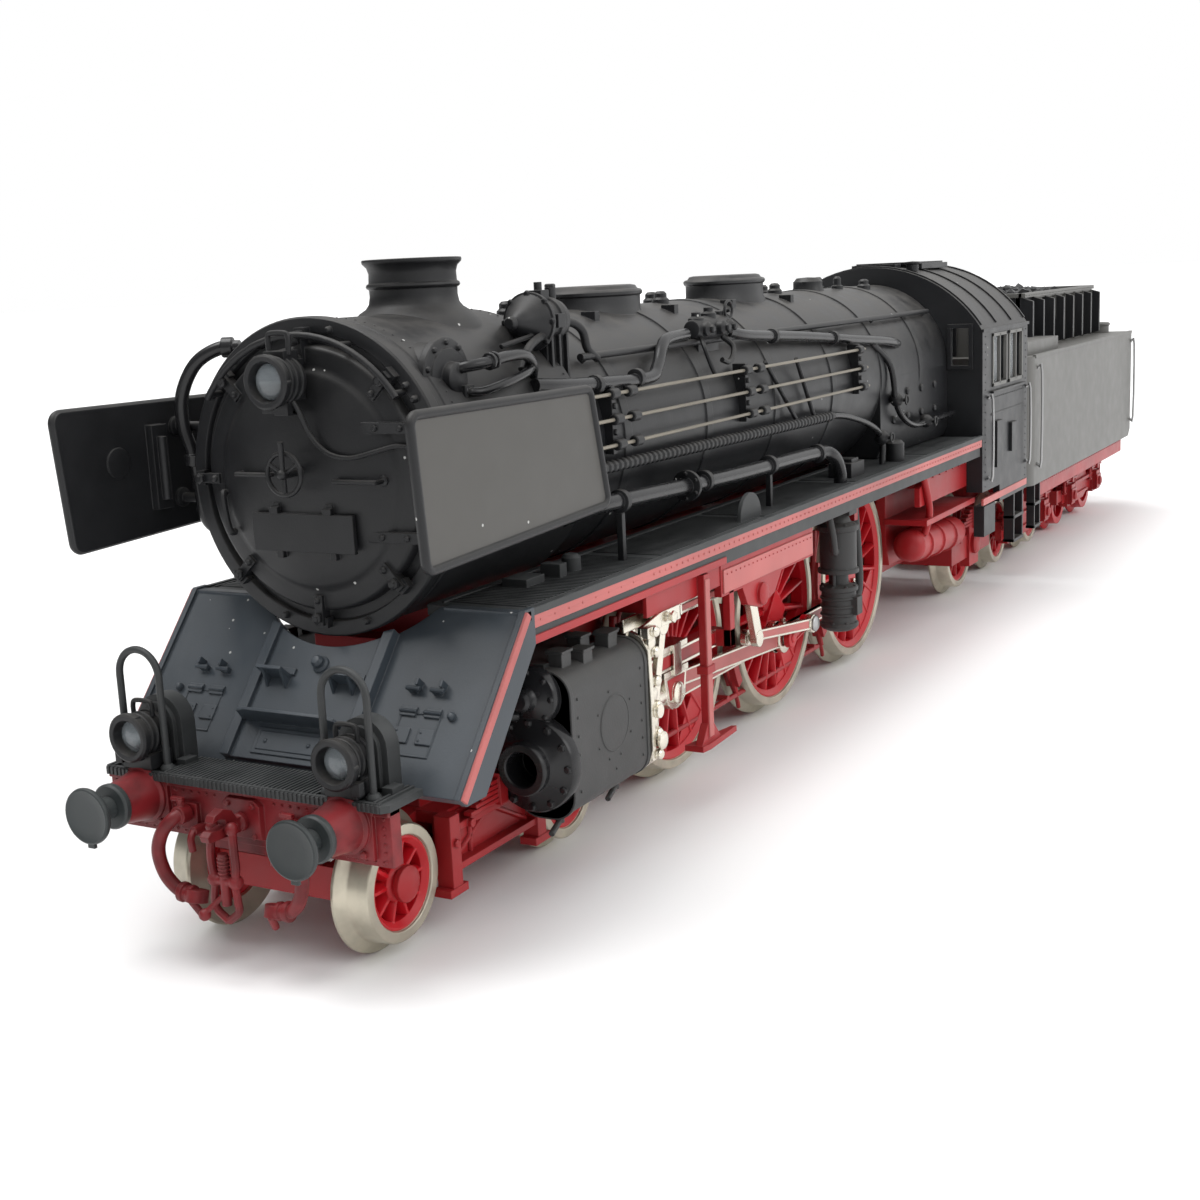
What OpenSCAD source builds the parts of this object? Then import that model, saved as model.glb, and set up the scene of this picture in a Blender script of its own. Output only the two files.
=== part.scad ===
// Scale model of an express steam locomotive with an eight-wheel tender, 1:87.
// Millimetres. X points forward, Y to the left and Z up.
// Inside the modules X is counted from the front buffer faces (backwards is
// negative) and Z from the top of the rail. in_frame() then moves every node to
// the part's own frame: middle of the length, centre line, lowest wheel flange.

/* [Overall] */
// Length from the front buffer faces to the rear buffer faces
buffer_length = 270; // [269.5:0.25:271]
// Distance the rear coupler reaches behind the rear buffer faces
coupler_reach = 4; // [3.5:0.25:5]
// Half width over the running boards and the cab
half_width = 17.3; // [17.25:0.05:17.5]

/* [Wheels] */
// Tread diameter of the coupled driving wheels
driver_d = 23; // [22.8:0.1:23.2]
// Tread diameter of the leading wheels
lead_d = 9.8; // [9.6:0.1:9.9]
// Tread diameter of the trailing wheels
trail_d = 14.4; // [14.2:0.1:14.5]
// Tread diameter of the tender wheels
tender_d = 11.5; // [11.4:0.1:11.6]
// Depth of the wheel flanges below the tread
flange_depth = 1; // [0.8:0.05:1.1]
// Distance between the backs of the two wheels of an axle
back_to_back = 14.3; // [14.3:0.05:14.4]
// Width of a tyre with its flange
tyre_w = 2.8; // [2.6:0.05:2.85]
// Throw of the driving cranks
crank_r = 3.79; // [3.6:0.05:3.85]

/* [Wheelbase] */
// First leading axle behind the front buffer faces
lead_1 = 13.2; // [13.2:0.1:13.6]
// Second leading axle behind the front buffer faces
lead_2 = 39; // [38.5:0.1:39.2]
// First driving axle behind the front buffer faces
driver_1 = 62.5; // [62.3:0.1:62.8]
// Distance between neighbouring driving axles
driver_pitch = 26.5; // [26.4:0.05:26.6]
// Trailing axle behind the front buffer faces
trail_axle = 163.4; // [163.2:0.1:163.6]
// Distance between the two axles of a tender bogie
tender_pitch = 21.8; // [21.7:0.05:21.85]

/* [Boiler] */
// Height of the boiler's centre line above the rail
boiler_z = 36; // [35.9:0.1:36.1]
// Outer radius of the boiler cladding
boiler_r = 11.9; // [11.8:0.1:12]
// Outer radius of the smokebox
smokebox_r = 12.7; // [12.6:0.1:12.8]

/* [Drive] */
// Teeth on the motor pinion
pinion_teeth = 10; // [10:1:10]
// Teeth on the intermediate gear
idler_teeth = 32; // [32:1:32]
// Teeth on each axle gear
axle_teeth = 23; // [23:1:23]
// Gear module
gear_m = 0.4; // [0.4:0.01:0.4]

/* [Fits] */
// Radial running clearance of pins and axles
running = 0.05; // [0.03:0.01:0.06]
// Gap left between neighbouring fixed pieces
seat = 0.03; // [0.02:0.01:0.05]

/* [Hidden] */
$fn = 48;

// Colours of the materials
red = "#a5121c";
black = "#1c1c1d";
grey = "#4f4e4b";
slate = "#3c4248";
nickel = "#c9c4b4";
steel = "#8c8c8c";

// Wheels
driver_rad = driver_d / 2;
back_y = back_to_back / 2;
face_y = back_y + tyre_w;
tyre_t = 1.3;

// Stations along the locomotive
overall = buffer_length + coupler_reach;
beam_x = -6.7;
beam_t = 1.3;
smoke_x = -18.6;
smoke_end = -42;
boiler_end = -150.5;
cab_end = -176;
bogie_pin = -26.1;
middle_x = -driver_1 - driver_pitch;
rear_x = middle_x - driver_pitch;
truck_pin = -138;
drawbar_x = -173;

// Heights
board_z = 24.4;
board_t = 1;
frame_top = 21.5;
frame_low = 7;

// Cylinders and motion, left side; the right side is their mirror image
cyl_y = 13.7;
cyl_z = 11;
valve_z = 16.8;
cyl_front = -28;
cyl_back = -42;
pin_r = 0.8;
small_pin_r = 0.45;
rod_y = [10.35, 11.15];
main_y = [11.5, 12.2];
return_y = [12.4, 13.1];
eccentric_y = [13.3, 14];
link_y = [14.5, 15.3];
link_x = -70;
link_z = 17.5;
link_arm = 5.7;
radius_z = 18.6;
lever_x = -48;
lever_z = 18.8;
lever_l = 9.4;
return_r = 2.6;
main_rod_l = 34;

// Tender
tender_front = -179;
tender_back = -263;
bogie_1 = -196.4;
bogie_2 = -239.4;
tender_pin_x = -184;
coupler_x = -260.5;
tender_wall = 1;
deck_z = 35;
bunker = [-208, -254];
bunker_y = 9.8;
bunker_z = 44.6;

// Gear train: the idler sits between the axle gears, the motor above the idler
axle_gear_r = axle_teeth * gear_m / 2;
idler_r = idler_teeth * gear_m / 2;
pinion_r = pinion_teeth * gear_m / 2;
idler_rise = sqrt(pow(axle_gear_r + idler_r, 2) - pow(tender_pitch / 2, 2));
idler_z = tender_d / 2 + idler_rise;
motor_z = idler_z + idler_r + pinion_r;
gear_y = [5.5, 6.7];

// ---------- Frames of reference and basic forms ----------

module in_frame() translate([overall / 2, 0, flange_depth]) children();

module both_sides() {
    children();
    mirror([0, 1, 0]) children();
}

module on_side(side) {
    if (side > 0) children();
    else mirror([0, 1, 0]) children();
}

// Round bar along X between two stations
module bar_x(front, back, r, y = 0, z = 0)
    translate([back, y, z]) rotate([0, 90, 0]) cylinder(h = front - back, r = r);

// Round bar along Y
module bar_y(y0, y1, r, x = 0, z = 0)
    translate([x, y1, z]) rotate([90, 0, 0]) cylinder(h = y1 - y0, r = r);

// Round bar along Z
module bar_z(z0, z1, r, x = 0, y = 0)
    translate([x, y, z0]) cylinder(h = z1 - z0, r = r);

// Block between two corners
module block(a, b) translate(a) cube(b - a);

// Flat outline in X and Z given thickness along Y
module plate_xz(y0, y1) translate([0, y1, 0]) rotate([90, 0, 0]) linear_extrude(y1 - y0) children();

// Flat outline in Y and Z given thickness along X
module plate_yz(back, front) translate([back, 0, 0]) rotate([90, 0, 90]) linear_extrude(front - back) children();

// Flat outline in X and Y given thickness along Z
module plate_xy(z0, z1) translate([0, 0, z0]) linear_extrude(z1 - z0) children();

// Flat link in X and Z: two round ends joined by a slightly thinner web
module link(ys, a, b, ra, rb, web) {
    d = b - a;
    bar_y(ys[0], ys[1], ra, a[0], a[1]);
    bar_y(ys[0], ys[1], rb, b[0], b[1]);
    translate([a[0], 0, a[1]]) rotate([0, -atan2(d[1], d[0]), 0])
        block([ra / 2, ys[0] + 0.05, -web / 2], [norm(d) - rb / 2, ys[1] - 0.05, web / 2]);
}

// Rectangle with round corners, from its lower left to its upper right corner
module round_rect(a, b, r) {
    translate([a[0] + r, a[1]]) square([b[0] - a[0] - 2 * r, b[1] - a[1]]);
    translate([a[0], a[1] + r]) square([b[0] - a[0], b[1] - a[1] - 2 * r]);
    for (x = [a[0] + r, b[0] - r], y = [a[1] + r, b[1] - r]) translate([x, y]) circle(r = r);
}

// ---------- Wheels ----------

// Left tyre about the origin, with its flange on the inner side
module tyre(r)
    rotate([-90, 0, 0]) translate([0, 0, back_y]) rotate_extrude() polygon([
        [r - tyre_t, 0], [r + flange_depth - 0.25, 0], [r + flange_depth, 0.25],
        [r + flange_depth, 0.5], [r, 0.95], [r - 0.1, tyre_w], [r - tyre_t, tyre_w]
    ]);

// Left wheel centre: hub, spokes and inner rim
module spokes(r, n, hub_r, w)
    rotate([-90, 0, 0]) translate([0, 0, back_y + 0.8]) linear_extrude(1.3) {
        circle(r = hub_r);
        for (i = [0 : n - 1]) rotate(i * 360 / n) translate([0, -w / 2]) square([r - tyre_t + 0.1, w]);
    }

module wheel(r, n, hub_r, w) {
    tyre(r);
    spokes(r, n, hub_r, w);
    bar_y(back_y, face_y - 0.4, hub_r - 0.3);
}

// Pair of wheels on their axle, standing on the rail at station x
module wheelset(x, d, n, hub_r, w, axle_r)
    translate([x, 0, d / 2]) {
        both_sides() wheel(d / 2, n, hub_r, w);
        bar_y(-back_y - 1, back_y + 1, axle_r);
    }

// Axle ends that run in outside bearings
module journals(x, d, r, y) translate([x, 0, d / 2]) bar_y(-y, y, r);

// ---------- Cranks ----------

// Crank angles from +X towards +Z: the right crank is a quarter turn ahead
function crank_angle(side) = side > 0 ? -45 : 45;
function return_angle(side) = crank_angle(side) - 90;
function crank_pin(side) = crank_r * [cos(crank_angle(side)), sin(crank_angle(side))];
function return_pin(side) = return_r * [cos(return_angle(side)), sin(return_angle(side))];
function middle_pin(side) = [middle_x, driver_rad] + crank_pin(side);
function crosshead_x(side) = let (drop = cyl_z - middle_pin(side)[1])
    middle_pin(side)[0] + sqrt(main_rod_l * main_rod_l - drop * drop);

// Balance weight: a crescent inside the rim, opposite the crank
module balance_weight(r, side)
    plate_xz(back_y + 1, back_y + 2.1) rotate(crank_angle(side) + 180) intersection() {
        circle(r = r - tyre_t + 0.1);
        translate([r - tyre_t - 2.4, -r]) square([2 * r, 2 * r]);
    }

// Crank boss and pin of one side; the wheel centre is the origin
module crank(side, pin_end, head_r)
    on_side(side) {
        link([face_y - 1.2, 10.25], [0, 0], crank_pin(side), 2.6, 1.8, 3.4);
        translate([crank_pin(side)[0], 0, crank_pin(side)[1]]) {
            bar_y(10.2, pin_end, pin_r);
            bar_y(rod_y[1] + running, pin_end, head_r);
        }
        balance_weight(driver_rad, side);
    }

// Return crank with the eccentric rod's pin, on the middle axle only
module return_crank(side)
    on_side(side) {
        link(return_y, crank_pin(side), return_pin(side), 1.1, 1, 1.4);
        translate([return_pin(side)[0], 0, return_pin(side)[1]]) {
            bar_y(return_y[1] - 0.1, eccentric_y[1] + 0.25, 0.6);
            bar_y(eccentric_y[1] + running, eccentric_y[1] + 0.25, 0.9);
        }
    }

module driver_wheelset(x, pin_end, head_r)
    color(red) {
        wheelset(x, driver_d, 19, 2.6, 0.75, 1.25);
        translate([x, 0, driver_rad]) for (side = [1, -1]) crank(side, pin_end, head_r);
    }

module driver_wheelset_front() in_frame() driver_wheelset(-driver_1, rod_y[1] + 0.22, 1.1);
module driver_wheelset_rear() in_frame() driver_wheelset(rear_x, rod_y[1] + 0.22, 1.1);
module driver_wheelset_middle() in_frame() color(red) {
    driver_wheelset(middle_x, return_y[0] + 0.1, pin_r);
    translate([middle_x, 0, driver_rad]) for (side = [1, -1]) return_crank(side);
}

module lead_wheelset(x) color(red) wheelset(x, lead_d, 10, 1.6, 0.6, 1);
module lead_wheelset_front() in_frame() lead_wheelset(-lead_1);
module lead_wheelset_rear() in_frame() lead_wheelset(-lead_2);

module trailing_wheelset() in_frame() color(red) {
    wheelset(-trail_axle, trail_d, 12, 2, 0.7, 1.2);
    journals(-trail_axle, trail_d, 0.9, 11.6);
}

// ---------- Rods and valve gear ----------

module coupling_rod(side)
    in_frame() color(red) on_side(side) difference() {
        pins = [for (i = [0 : 2]) [-driver_1 - i * driver_pitch, driver_rad] + crank_pin(side)];
        union() {
            link(rod_y, pins[0], pins[1], 1.7, 1.9, 1.7);
            link(rod_y, pins[1], pins[2], 1.9, 1.7, 1.7);
        }
        for (p = pins) bar_y(9, 13, pin_r + running, p[0], p[1]);
    }

module coupling_rod_left() coupling_rod(1);
module coupling_rod_right() coupling_rod(-1);

module main_rod(side)
    in_frame() color(red) on_side(side) difference() {
        big_end = middle_pin(side);
        small_end = [crosshead_x(side), cyl_z];
        link(main_y, big_end, small_end, 1.8, 1.3, 1.7);
        bar_y(11, 13, pin_r + running, big_end[0], big_end[1]);
        bar_y(11, 13, 0.6, small_end[0], small_end[1]);
    }

module main_rod_left() main_rod(1);
module main_rod_right() main_rod(-1);

module eccentric_rod(side)
    in_frame() color(nickel) on_side(side) difference() {
        rear = [middle_x, driver_rad] + return_pin(side);
        link(eccentric_y, rear, link_foot(side), 1.1, 0.9, 1.2);
        bar_y(13, 15, 0.6 + running, rear[0], rear[1]);
    }

module eccentric_rod_left() eccentric_rod(1);
module eccentric_rod_right() eccentric_rod(-1);

// Slide bar section that the crosshead slipper wraps
bar_ys = [13.1, 14.7];
bar_zs = [13.6, 15.2];

module crosshead(side) {
    x = crosshead_x(side);
    half = 2.6;
    gap = 0.08;
    in_frame() color(nickel) on_side(side) {
        difference() {
            block([x - half, 12.7, 9.4], [x + half, 15.1, bar_zs[1] + 0.6]);
            block([x - half - 1, bar_ys[0] - gap, bar_zs[0] - gap],
                  [x + half + 1, bar_ys[1] + gap, bar_zs[1] + gap]);
        }
        bar_x(-34.5, x + half - 0.5, pin_r, cyl_y, cyl_z);
        bar_y(15, 15.25, 1.1, x, cyl_z);
    }
}

module crosshead_left() crosshead(1);
module crosshead_right() crosshead(-1);

// Its lower end stands forward of the pivot by the crosshead's lead at rest
lever_tip = [lever_x + crank_pin(1)[0], lever_z - sqrt(pow(lever_l, 2) - pow(crank_pin(1)[0], 2))];

module combination_lever(side)
    in_frame() color(nickel) on_side(side) {
        link([15.4, 16], [lever_x, lever_z], lever_tip, 1, 0.8, 1.1);
        bar_y(14.15, 15.7, small_pin_r, lever_x, lever_z);
    }

module combination_lever_left() combination_lever(1);
module combination_lever_right() combination_lever(-1);

// The link leans with its eccentric; its foot is where the eccentric rod meets it
function link_lean(side) = asin(return_pin(side)[0] / link_arm);
function link_foot(side) = [link_x, link_z] + link_arm * [sin(link_lean(side)), -cos(link_lean(side))];

module expansion_link(side)
    in_frame() color(nickel) on_side(side) {
        translate([link_x, 0, link_z]) rotate([0, -link_lean(side), 0]) difference() {
            union() {
                link(link_y, [0, 0], [0, 3.4], 1.2, 1.1, 2);
                link(link_y, [0, 0], [0, -link_arm], 1.2, 0.9, 1.6);
            }
            block([-0.35, 14, 0.9], [0.35, 16, 3.3]);
        }
        bar_y(link_y[1] - 0.1, 16.35, 0.6, link_x, link_z);
    }

module expansion_link_left() expansion_link(1);
module expansion_link_right() expansion_link(-1);

module radius_rod(side)
    in_frame() color(nickel) on_side(side) {
        link([13.1, 13.9], [link_x, radius_z], [-45, radius_z], 1, 1, 1.2);
        block([-46, 13.1, valve_z - 0.6], [-44, 13.9, radius_z]);
        bar_x(-37.5, -45, 0.5, 13.5, valve_z);
    }

module radius_rod_left() radius_rod(1);
module radius_rod_right() radius_rod(-1);

// ---------- Cylinders and motion brackets ----------

module cylinder_block() in_frame() color(grey) both_sides() difference() {
    union() {
        plate_yz(cyl_back, cyl_front) round_rect([11.4, 6], [half_width - 0.1, 18.9], 2.2);
        bar_x(cyl_front + 1.6, cyl_front, 4.2, cyl_y, cyl_z);
        bar_x(cyl_front + 2.8, cyl_front, 2.3, cyl_y, cyl_z);
        bar_x(cyl_front + 1.2, cyl_front, 2.6, cyl_y, valve_z);
        bar_x(cyl_front + 2.6, cyl_front, 0.9, cyl_y, valve_z);
        bar_x(cyl_back, cyl_back - 1.2, 2.1, cyl_y, cyl_z);
        bar_x(cyl_back, cyl_back - 0.8, 1.5, 13.5, valve_z);
        block([lever_x - 1.2, 14.2, 17.8], [cyl_back + 1, 15.2, 19.8]);
    }
    // Sleeve for a piston tail rod guard, open at the front
    bar_x(cyl_front + 3, cyl_front - 2.2, 1.5, cyl_y, cyl_z);
    bar_x(cyl_back + 9.5, cyl_back - 2, pin_r + running, cyl_y, cyl_z);
    bar_x(cyl_back + 6.5, cyl_back - 2, 0.5 + running, 13.5, valve_z);
    bar_y(14, 15.4, small_pin_r + running, lever_x, lever_z);
}

module slide_bars() in_frame() color(red) both_sides() {
    // Slide bar, hung from its rear end
    block([-62, bar_ys[0], bar_zs[0]], [cyl_back - seat, bar_ys[1], bar_zs[1]]);
    block([-63, bar_ys[0], bar_zs[0]], [-61.9, 16.4, bar_zs[1]]);
    block([-63, 15.6, bar_zs[0]], [-61.9, 16.4, 18]);
    // Girder that carries the expansion link
    difference() {
        block([-85, 15.6, 15.9], [-60, 16.4, board_z - 2 - seat]);
        bar_y(15, 17, 0.6 + running, link_x, link_z);
        block([-86, 15, 15], [link_x - 3, 17, 17.8]);
    }
    // Post in front of the girder with a sweeping foot
    block([-52.4, 16.25, 5], [-50.6, 17.1, board_z - 2 - seat]);
    plate_xz(15.9, 17.1) polygon([[-50.4, 5.4], [-57.5, 5.4], [-58.4, 4.2], [-52.4, 3.6], [-50.4, 4.4]]);
}

// ---------- Locomotive frame ----------

module axle_slot(x, d, r)
    plate_xz(-8, 8) translate([x, d / 2]) {
        circle(r = r);
        translate([-r, -d]) square([2 * r, d]);
    }

module main_frame() in_frame() color(red) difference() {
    union() {
        // Side plates between the driving wheels, with their stretchers
        both_sides() block([-148, 5.4, frame_low], [-47, 6.4, frame_top]);
        for (i = [0 : 3]) {
            x = -driver_1 + driver_pitch / 2 - i * driver_pitch;
            block([x - 1.2, -5.5, frame_low], [x + 1.2, 5.5, frame_top]);
        }
        both_sides() block([-148, 2, frame_top - 1.5], [-47, 5.5, frame_top]);
        // Front extension over the leading bogie, with its pin
        block([-48, -6.4, 11.4], [beam_x - beam_t - seat, 6.4, 13.3]);
        block([-48, -6.4, 11.4], [-24.5, 6.4, frame_top]);
        bar_z(7.4, 12, 1.5, bogie_pin);
        // Cylinder saddle
        both_sides() block([cyl_back, 6, 12.2], [cyl_front, 11.4 - seat, 18.4]);
        // Smokebox saddle
        block([-41, -6.2, frame_top - 1], [-27, 6.2, 27]);
        // Brackets under the running boards
        for (x = [-46, -75.8, -102.2, -131])
            both_sides() block([x - 0.6, 6, frame_top - 1.2], [x + 0.6, 15.2, board_z - seat]);
        // Ashpan and rear frame over the trailing truck
        block([-148, -8.6, 9.4], [-130, 8.6, 20.5]);
        block([-175, -4.2, 16.4], [-147, 4.2, frame_top]);
        bar_z(6.6, 10, 1.5, truck_pin);
        bar_z(13.2, 17, 1, drawbar_x);
    }
    bar_x(0, -60, smokebox_r + seat, 0, boiler_z);
    for (i = [0 : 2]) axle_slot(-driver_1 - i * driver_pitch, driver_d, 1.25 + running);
    for (i = [0 : 3])
        bar_z(frame_low - 1, 12, 0.5, -driver_1 + driver_pitch / 2 - i * driver_pitch);
}

module keeper_plate() in_frame() color(red) difference() {
    union() {
        block([-131, -5.2, 5.7], [-47.4, 5.2, frame_low - seat]);
        both_sides() for (i = [0 : 2]) {
            x = -driver_1 - i * driver_pitch;
            block([x - 1.2, 5, 5.7], [x + 1.2, 6.3, driver_rad - 1.25 - running]);
        }
    }
    for (i = [0 : 3])
        bar_z(5, 8, 0.75, -driver_1 + driver_pitch / 2 - i * driver_pitch);
}

module chassis_screws() in_frame() color(steel)
    for (i = [0 : 3]) translate([-driver_1 + driver_pitch / 2 - i * driver_pitch, 0, 0]) difference() {
        union() {
            bar_z(5.1, 5.67, 1.3);
            bar_z(5.6, 11, 0.45);
        }
        block([-2, -0.2, 5], [2, 0.2, 5.35]);
    }

module buffer_beam() in_frame() color(red) difference() {
    union() {
        block([beam_x - beam_t, -14, 8.9], [beam_x, 14, 13.35]);
        both_sides() translate([beam_x - 0.1, 10.06, 12.07]) rotate([0, 90, 0])
            cylinder(h = 4.1, r1 = 2.3, r2 = 1.55);
        block([beam_x, -1.6, 9.6], [beam_x + 0.6, 1.6, 12.6]);
    }
    both_sides() bar_x(0, -5.5, 0.9 + seat, 10.06, 12.07);
    bar_x(0, -10, 0.5 + seat, 0, 11);
    block([-7, -14, 13.35], [-5.9, 14, 15]);
}

module buffer_heads() in_frame() color(grey) both_sides() translate([0, 10.06, 12.07]) {
    bar_x(-0.6, -5.4, 0.9);
    rotate([0, -90, 0]) rotate_extrude() polygon([[0, 0.05], [2.2, 0.25], [2.25, 0.55], [0.9, 1.2], [0, 1.2]]);
    bar_x(-2, -2.55, 1.35);
}

// Draw hook with hanging screw coupling, and the two brake hoses
module coupling_and_hoses() in_frame() color(red) {
    bar_x(beam_x + 2.4, beam_x - 0.9, 0.5, 0, 11);
    plate_xz(-0.6, 0.6) difference() {
        translate([beam_x + 2.6, 10.6]) circle(r = 1.8);
        translate([beam_x + 3, 11.4]) circle(r = 0.7);
        translate([beam_x + 2.9, 11.4]) square([3, 2]);
    }
    both_sides() block([beam_x + 2.1, 0.75, 5.2], [beam_x + 2.9, 1.4, 10.9]);
    bar_y(-1.5, 1.5, 0.45, beam_x + 2.5, 10.2);
    bar_y(-1.7, 1.7, 0.6, beam_x + 2.5, 5.4);
    both_sides() translate([beam_x + 1.3, 5.6, 8]) rotate([0, 90, 0]) rotate([0, 0, 180]) {
        rotate_extrude(angle = 180) translate([2.2, 0]) circle(r = 0.6);
        translate([2.2, 0, 0]) rotate([90, 0, 0]) cylinder(h = 1.2, r = 0.6);
        translate([-2.2, 0, 0]) rotate([90, 0, 0]) cylinder(h = 0.8, r = 0.5);
        translate([2.2, -1, -1.3 + seat]) cylinder(h = 1.6, r = 0.5);
    }
}

module front_platform() in_frame() color(black) {
    block([-10.7, -14.2, 13.35 + seat], [-6, 14.2, 14]);
    for (i = [-16 : 16]) block([-10.4, i * 0.42 - 0.1, 13.9], [-6.2, i * 0.42 + 0.1, 14.2]);
    both_sides() {
        // Arched box behind each lamp
        plate_yz(-10.6, -8.9) {
            translate([7.9, 13.9]) square([4.6, 3.4]);
            translate([10.2, 17.3]) circle(r = 2.3);
        }
        // Hand rail over each lamp
        for (y = [8.1, 12.3]) bar_z(13.9, 21.6, 0.32, -7.2, y);
        translate([-7.2, 10.2, 21.6]) rotate([90, 0, 90]) rotate_extrude(angle = 180)
            translate([2.1, 0]) circle(r = 0.32);
    }
}

module lamp(x, y, z, r) difference() {
    union() {
        bar_x(x + 1.5, x - 1.5, r, y, z);
        bar_x(x + 1.7, x + 1.1, r + 0.25, y, z);
    }
    bar_x(x + 2, x + 0.7, r - 0.4, y, z);
}

module head_lamps() in_frame() color(black) {
    both_sides() {
        lamp(-6.9, 10.2, 16.9, 1.75);
        difference() {
            block([-8.3, 8.8, 14.23], [-6.2, 11.6, 15.6]);
            bar_x(0, -20, 1.6, 10.2, 16.9);
            for (y = [8.1, 12.3]) bar_z(13, 22, 0.4, -7.2, y);
        }
        translate([-7.2, 10.2, 18.4]) rotate([90, 0, 90]) rotate_extrude(angle = 180)
            translate([0.9, 0]) circle(r = 0.22);
    }
    // Upper lamp on the smokebox front
    lamp(-15, 0, 44.2, 1.9);
    difference() {
        block([-16.6, -0.9, 42.4], [-14, 0.9, 46.4]);
        bar_x(0, -20, 1.75, 0, 44.2);
    }
    block([smoke_x + 1.45, -0.9, 43.4], [-16.3, 0.9, 45]);
}

module lamp_lenses() in_frame() color("#dfe6ea") {
    both_sides() bar_x(-5.9, -6.18, 1.3, 10.2, 16.9);
    bar_x(-13.9, -14.28, 1.45, 0, 44.2);
}

// Sloping front apron with a raised centre panel, hollowed for the smokebox
module front_apron() in_frame() color(slate) difference() {
    union() {
        plate_xz(-half_width - 0.1, half_width + 0.1)
            polygon([[-11.6, 12.7], [-11, 13.4], [-21.4, 25.4], [-22.55, 25.4], [-22.55, 24.5]]);
        plate_xz(-5.6, 5.6) polygon([[-11, 14.2], [-10.7, 14.2], [-20.2, 25.6], [-21.4, 25.4]]);
        both_sides() plate_xz(half_width - 0.6, half_width + 0.1)
            polygon([[-11.6, 12.7], [-14.5, 12.4], [-23, 22.4], [-22.5, 25.4], [-20, 24]]);
        block([-14.6, -4.8, 17.2], [-11.6, 4.8, 17.7]);
    }
    bar_x(0, -40, smokebox_r + 1.3, 0, boiler_z);
    block([-30, -30, 22.3], [-22.55, 30, 30]);
    block([-48, -6.5, 11], [-11, 6.5, 13.4]);
    block([-48, -6.5, 11], [-24.4, 6.5, 22]);
}

module running_boards() in_frame() color(black) difference() {
    both_sides() {
        block([-150.4, 6.6, board_z], [-22.6, half_width - 0.5, board_z + board_t]);
        block([-150.4, half_width - 0.6, board_z - 2], [-22.6, half_width, board_z + board_t + 0.2]);
        // Half-round splasher plate
        plate_xz(15, 15.5) intersection() {
            translate([link_x, board_z + 0.9]) circle(r = 2.6);
            translate([link_x - 4, board_z + 0.9]) square([8, 4]);
        }
    }
    bar_x(0, -151, smokebox_r + seat, 0, boiler_z);
    block([-23.1, -30, 20], [-22, 30, board_z]);
}

// ---------- Boiler ----------

module dome(x, l, w, top) translate([x, 0, 0]) intersection() {
    union() {
        bar_z(boiler_z, top - 0.5, l / 2);
        translate([0, 0, top - 0.5]) cylinder(h = 0.5, r1 = l / 2, r2 = l / 2 - 0.6);
    }
    block([-l, -w / 2, boiler_z], [l, w / 2, top]);
}

module boiler_shell() in_frame() color(black) difference() {
    union() {
        bar_x(smoke_x - 1.2, smoke_end, smokebox_r, 0, boiler_z);
        bar_x(smoke_end + 0.1, boiler_end, boiler_r, 0, boiler_z);
        for (x = [-50, -68, -86, -104, -122, -138]) bar_x(x + 0.6, x - 0.6, boiler_r + 0.15, 0, boiler_z);
        block([boiler_end, -boiler_r, 25.6], [-120, boiler_r, boiler_z]);
        // Chimney with its flared lip
        translate([-33.8, 0, boiler_z]) rotate_extrude() polygon([
            [0, 0], [4.6, 0], [4.6, smokebox_r + 0.4], [3.8, smokebox_r + 1], [3.7, 15.6],
            [4.1, 15.7], [4.1, 16.1], [3.8, 16.2], [3.9, 16.7], [4.2, 16.9], [4.2, 17.3], [3.2, 17.3], [3.2, 14], [0, 14]
        ]);
        dome(-66, 13, 8.5, 50.1);
        dome(-98.8, 13, 8.5, 50.5);
        dome(-126, 4, 4, 49.6);
    }
    // Hollow for the ballast weight, open at the cab end
    bar_x(-46, boiler_end - 1, 9.6, 0, boiler_z);
}

module ballast_weight() in_frame() color(steel) bar_x(-47, -149.5, 9.5, 0, boiler_z);

// Smokebox front ring with the domed door, its dogs, hand wheel and blank plate
module smokebox_front() in_frame() color(black) {
    difference() {
        bar_x(smoke_x, smoke_x - 1.2 + seat, smokebox_r + 0.3, 0, boiler_z);
        bar_x(smoke_x + 1, smoke_x - 0.5, smokebox_r - 1, 0, boiler_z);
    }
    translate([smoke_x - 0.6, 0, boiler_z]) rotate([0, 90, 0]) rotate_extrude() polygon([
        [0, 0], [10.6, 0], [10.6, 0.9], [10, 1.4], [7, 2], [3.5, 2.4], [0, 2.5]
    ]);
    for (i = [0 : 7]) translate([smoke_x, 0, boiler_z]) rotate([i * 45, 0, 0])
        block([-0.6, -0.45, 9.8], [1, 0.45, 12]);
    bar_x(smoke_x + 4.2, smoke_x + 1, 0.35, 0, boiler_z + 0.9);
    translate([smoke_x + 3.9, 0, boiler_z + 0.9]) rotate([0, 90, 0]) rotate_extrude()
        translate([1.6, 0]) circle(r = 0.25);
    for (i = [0 : 2]) translate([smoke_x + 3.9, 0, boiler_z + 0.9]) rotate([i * 120, 0, 0]) bar_z(0, 1.6, 0.22);
    block([smoke_x + 1.2, -5, boiler_z - 4.9], [smoke_x + 2.6, 5, boiler_z - 2.3]);
}

// Both ends of the transverse heater drum, let into the smokebox
module feedwater_heater() in_frame() color(black) difference() {
    both_sides() {
        bar_y(6, 9.6, 2.9, -24, 43.6);
        bar_y(9, 9.7, 3.3, -24, 43.6);
        bar_y(9.6, 11, 1.2, -24, 43.6);
    }
    bar_x(0, -60, smokebox_r + seat, 0, boiler_z);
}

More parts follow.
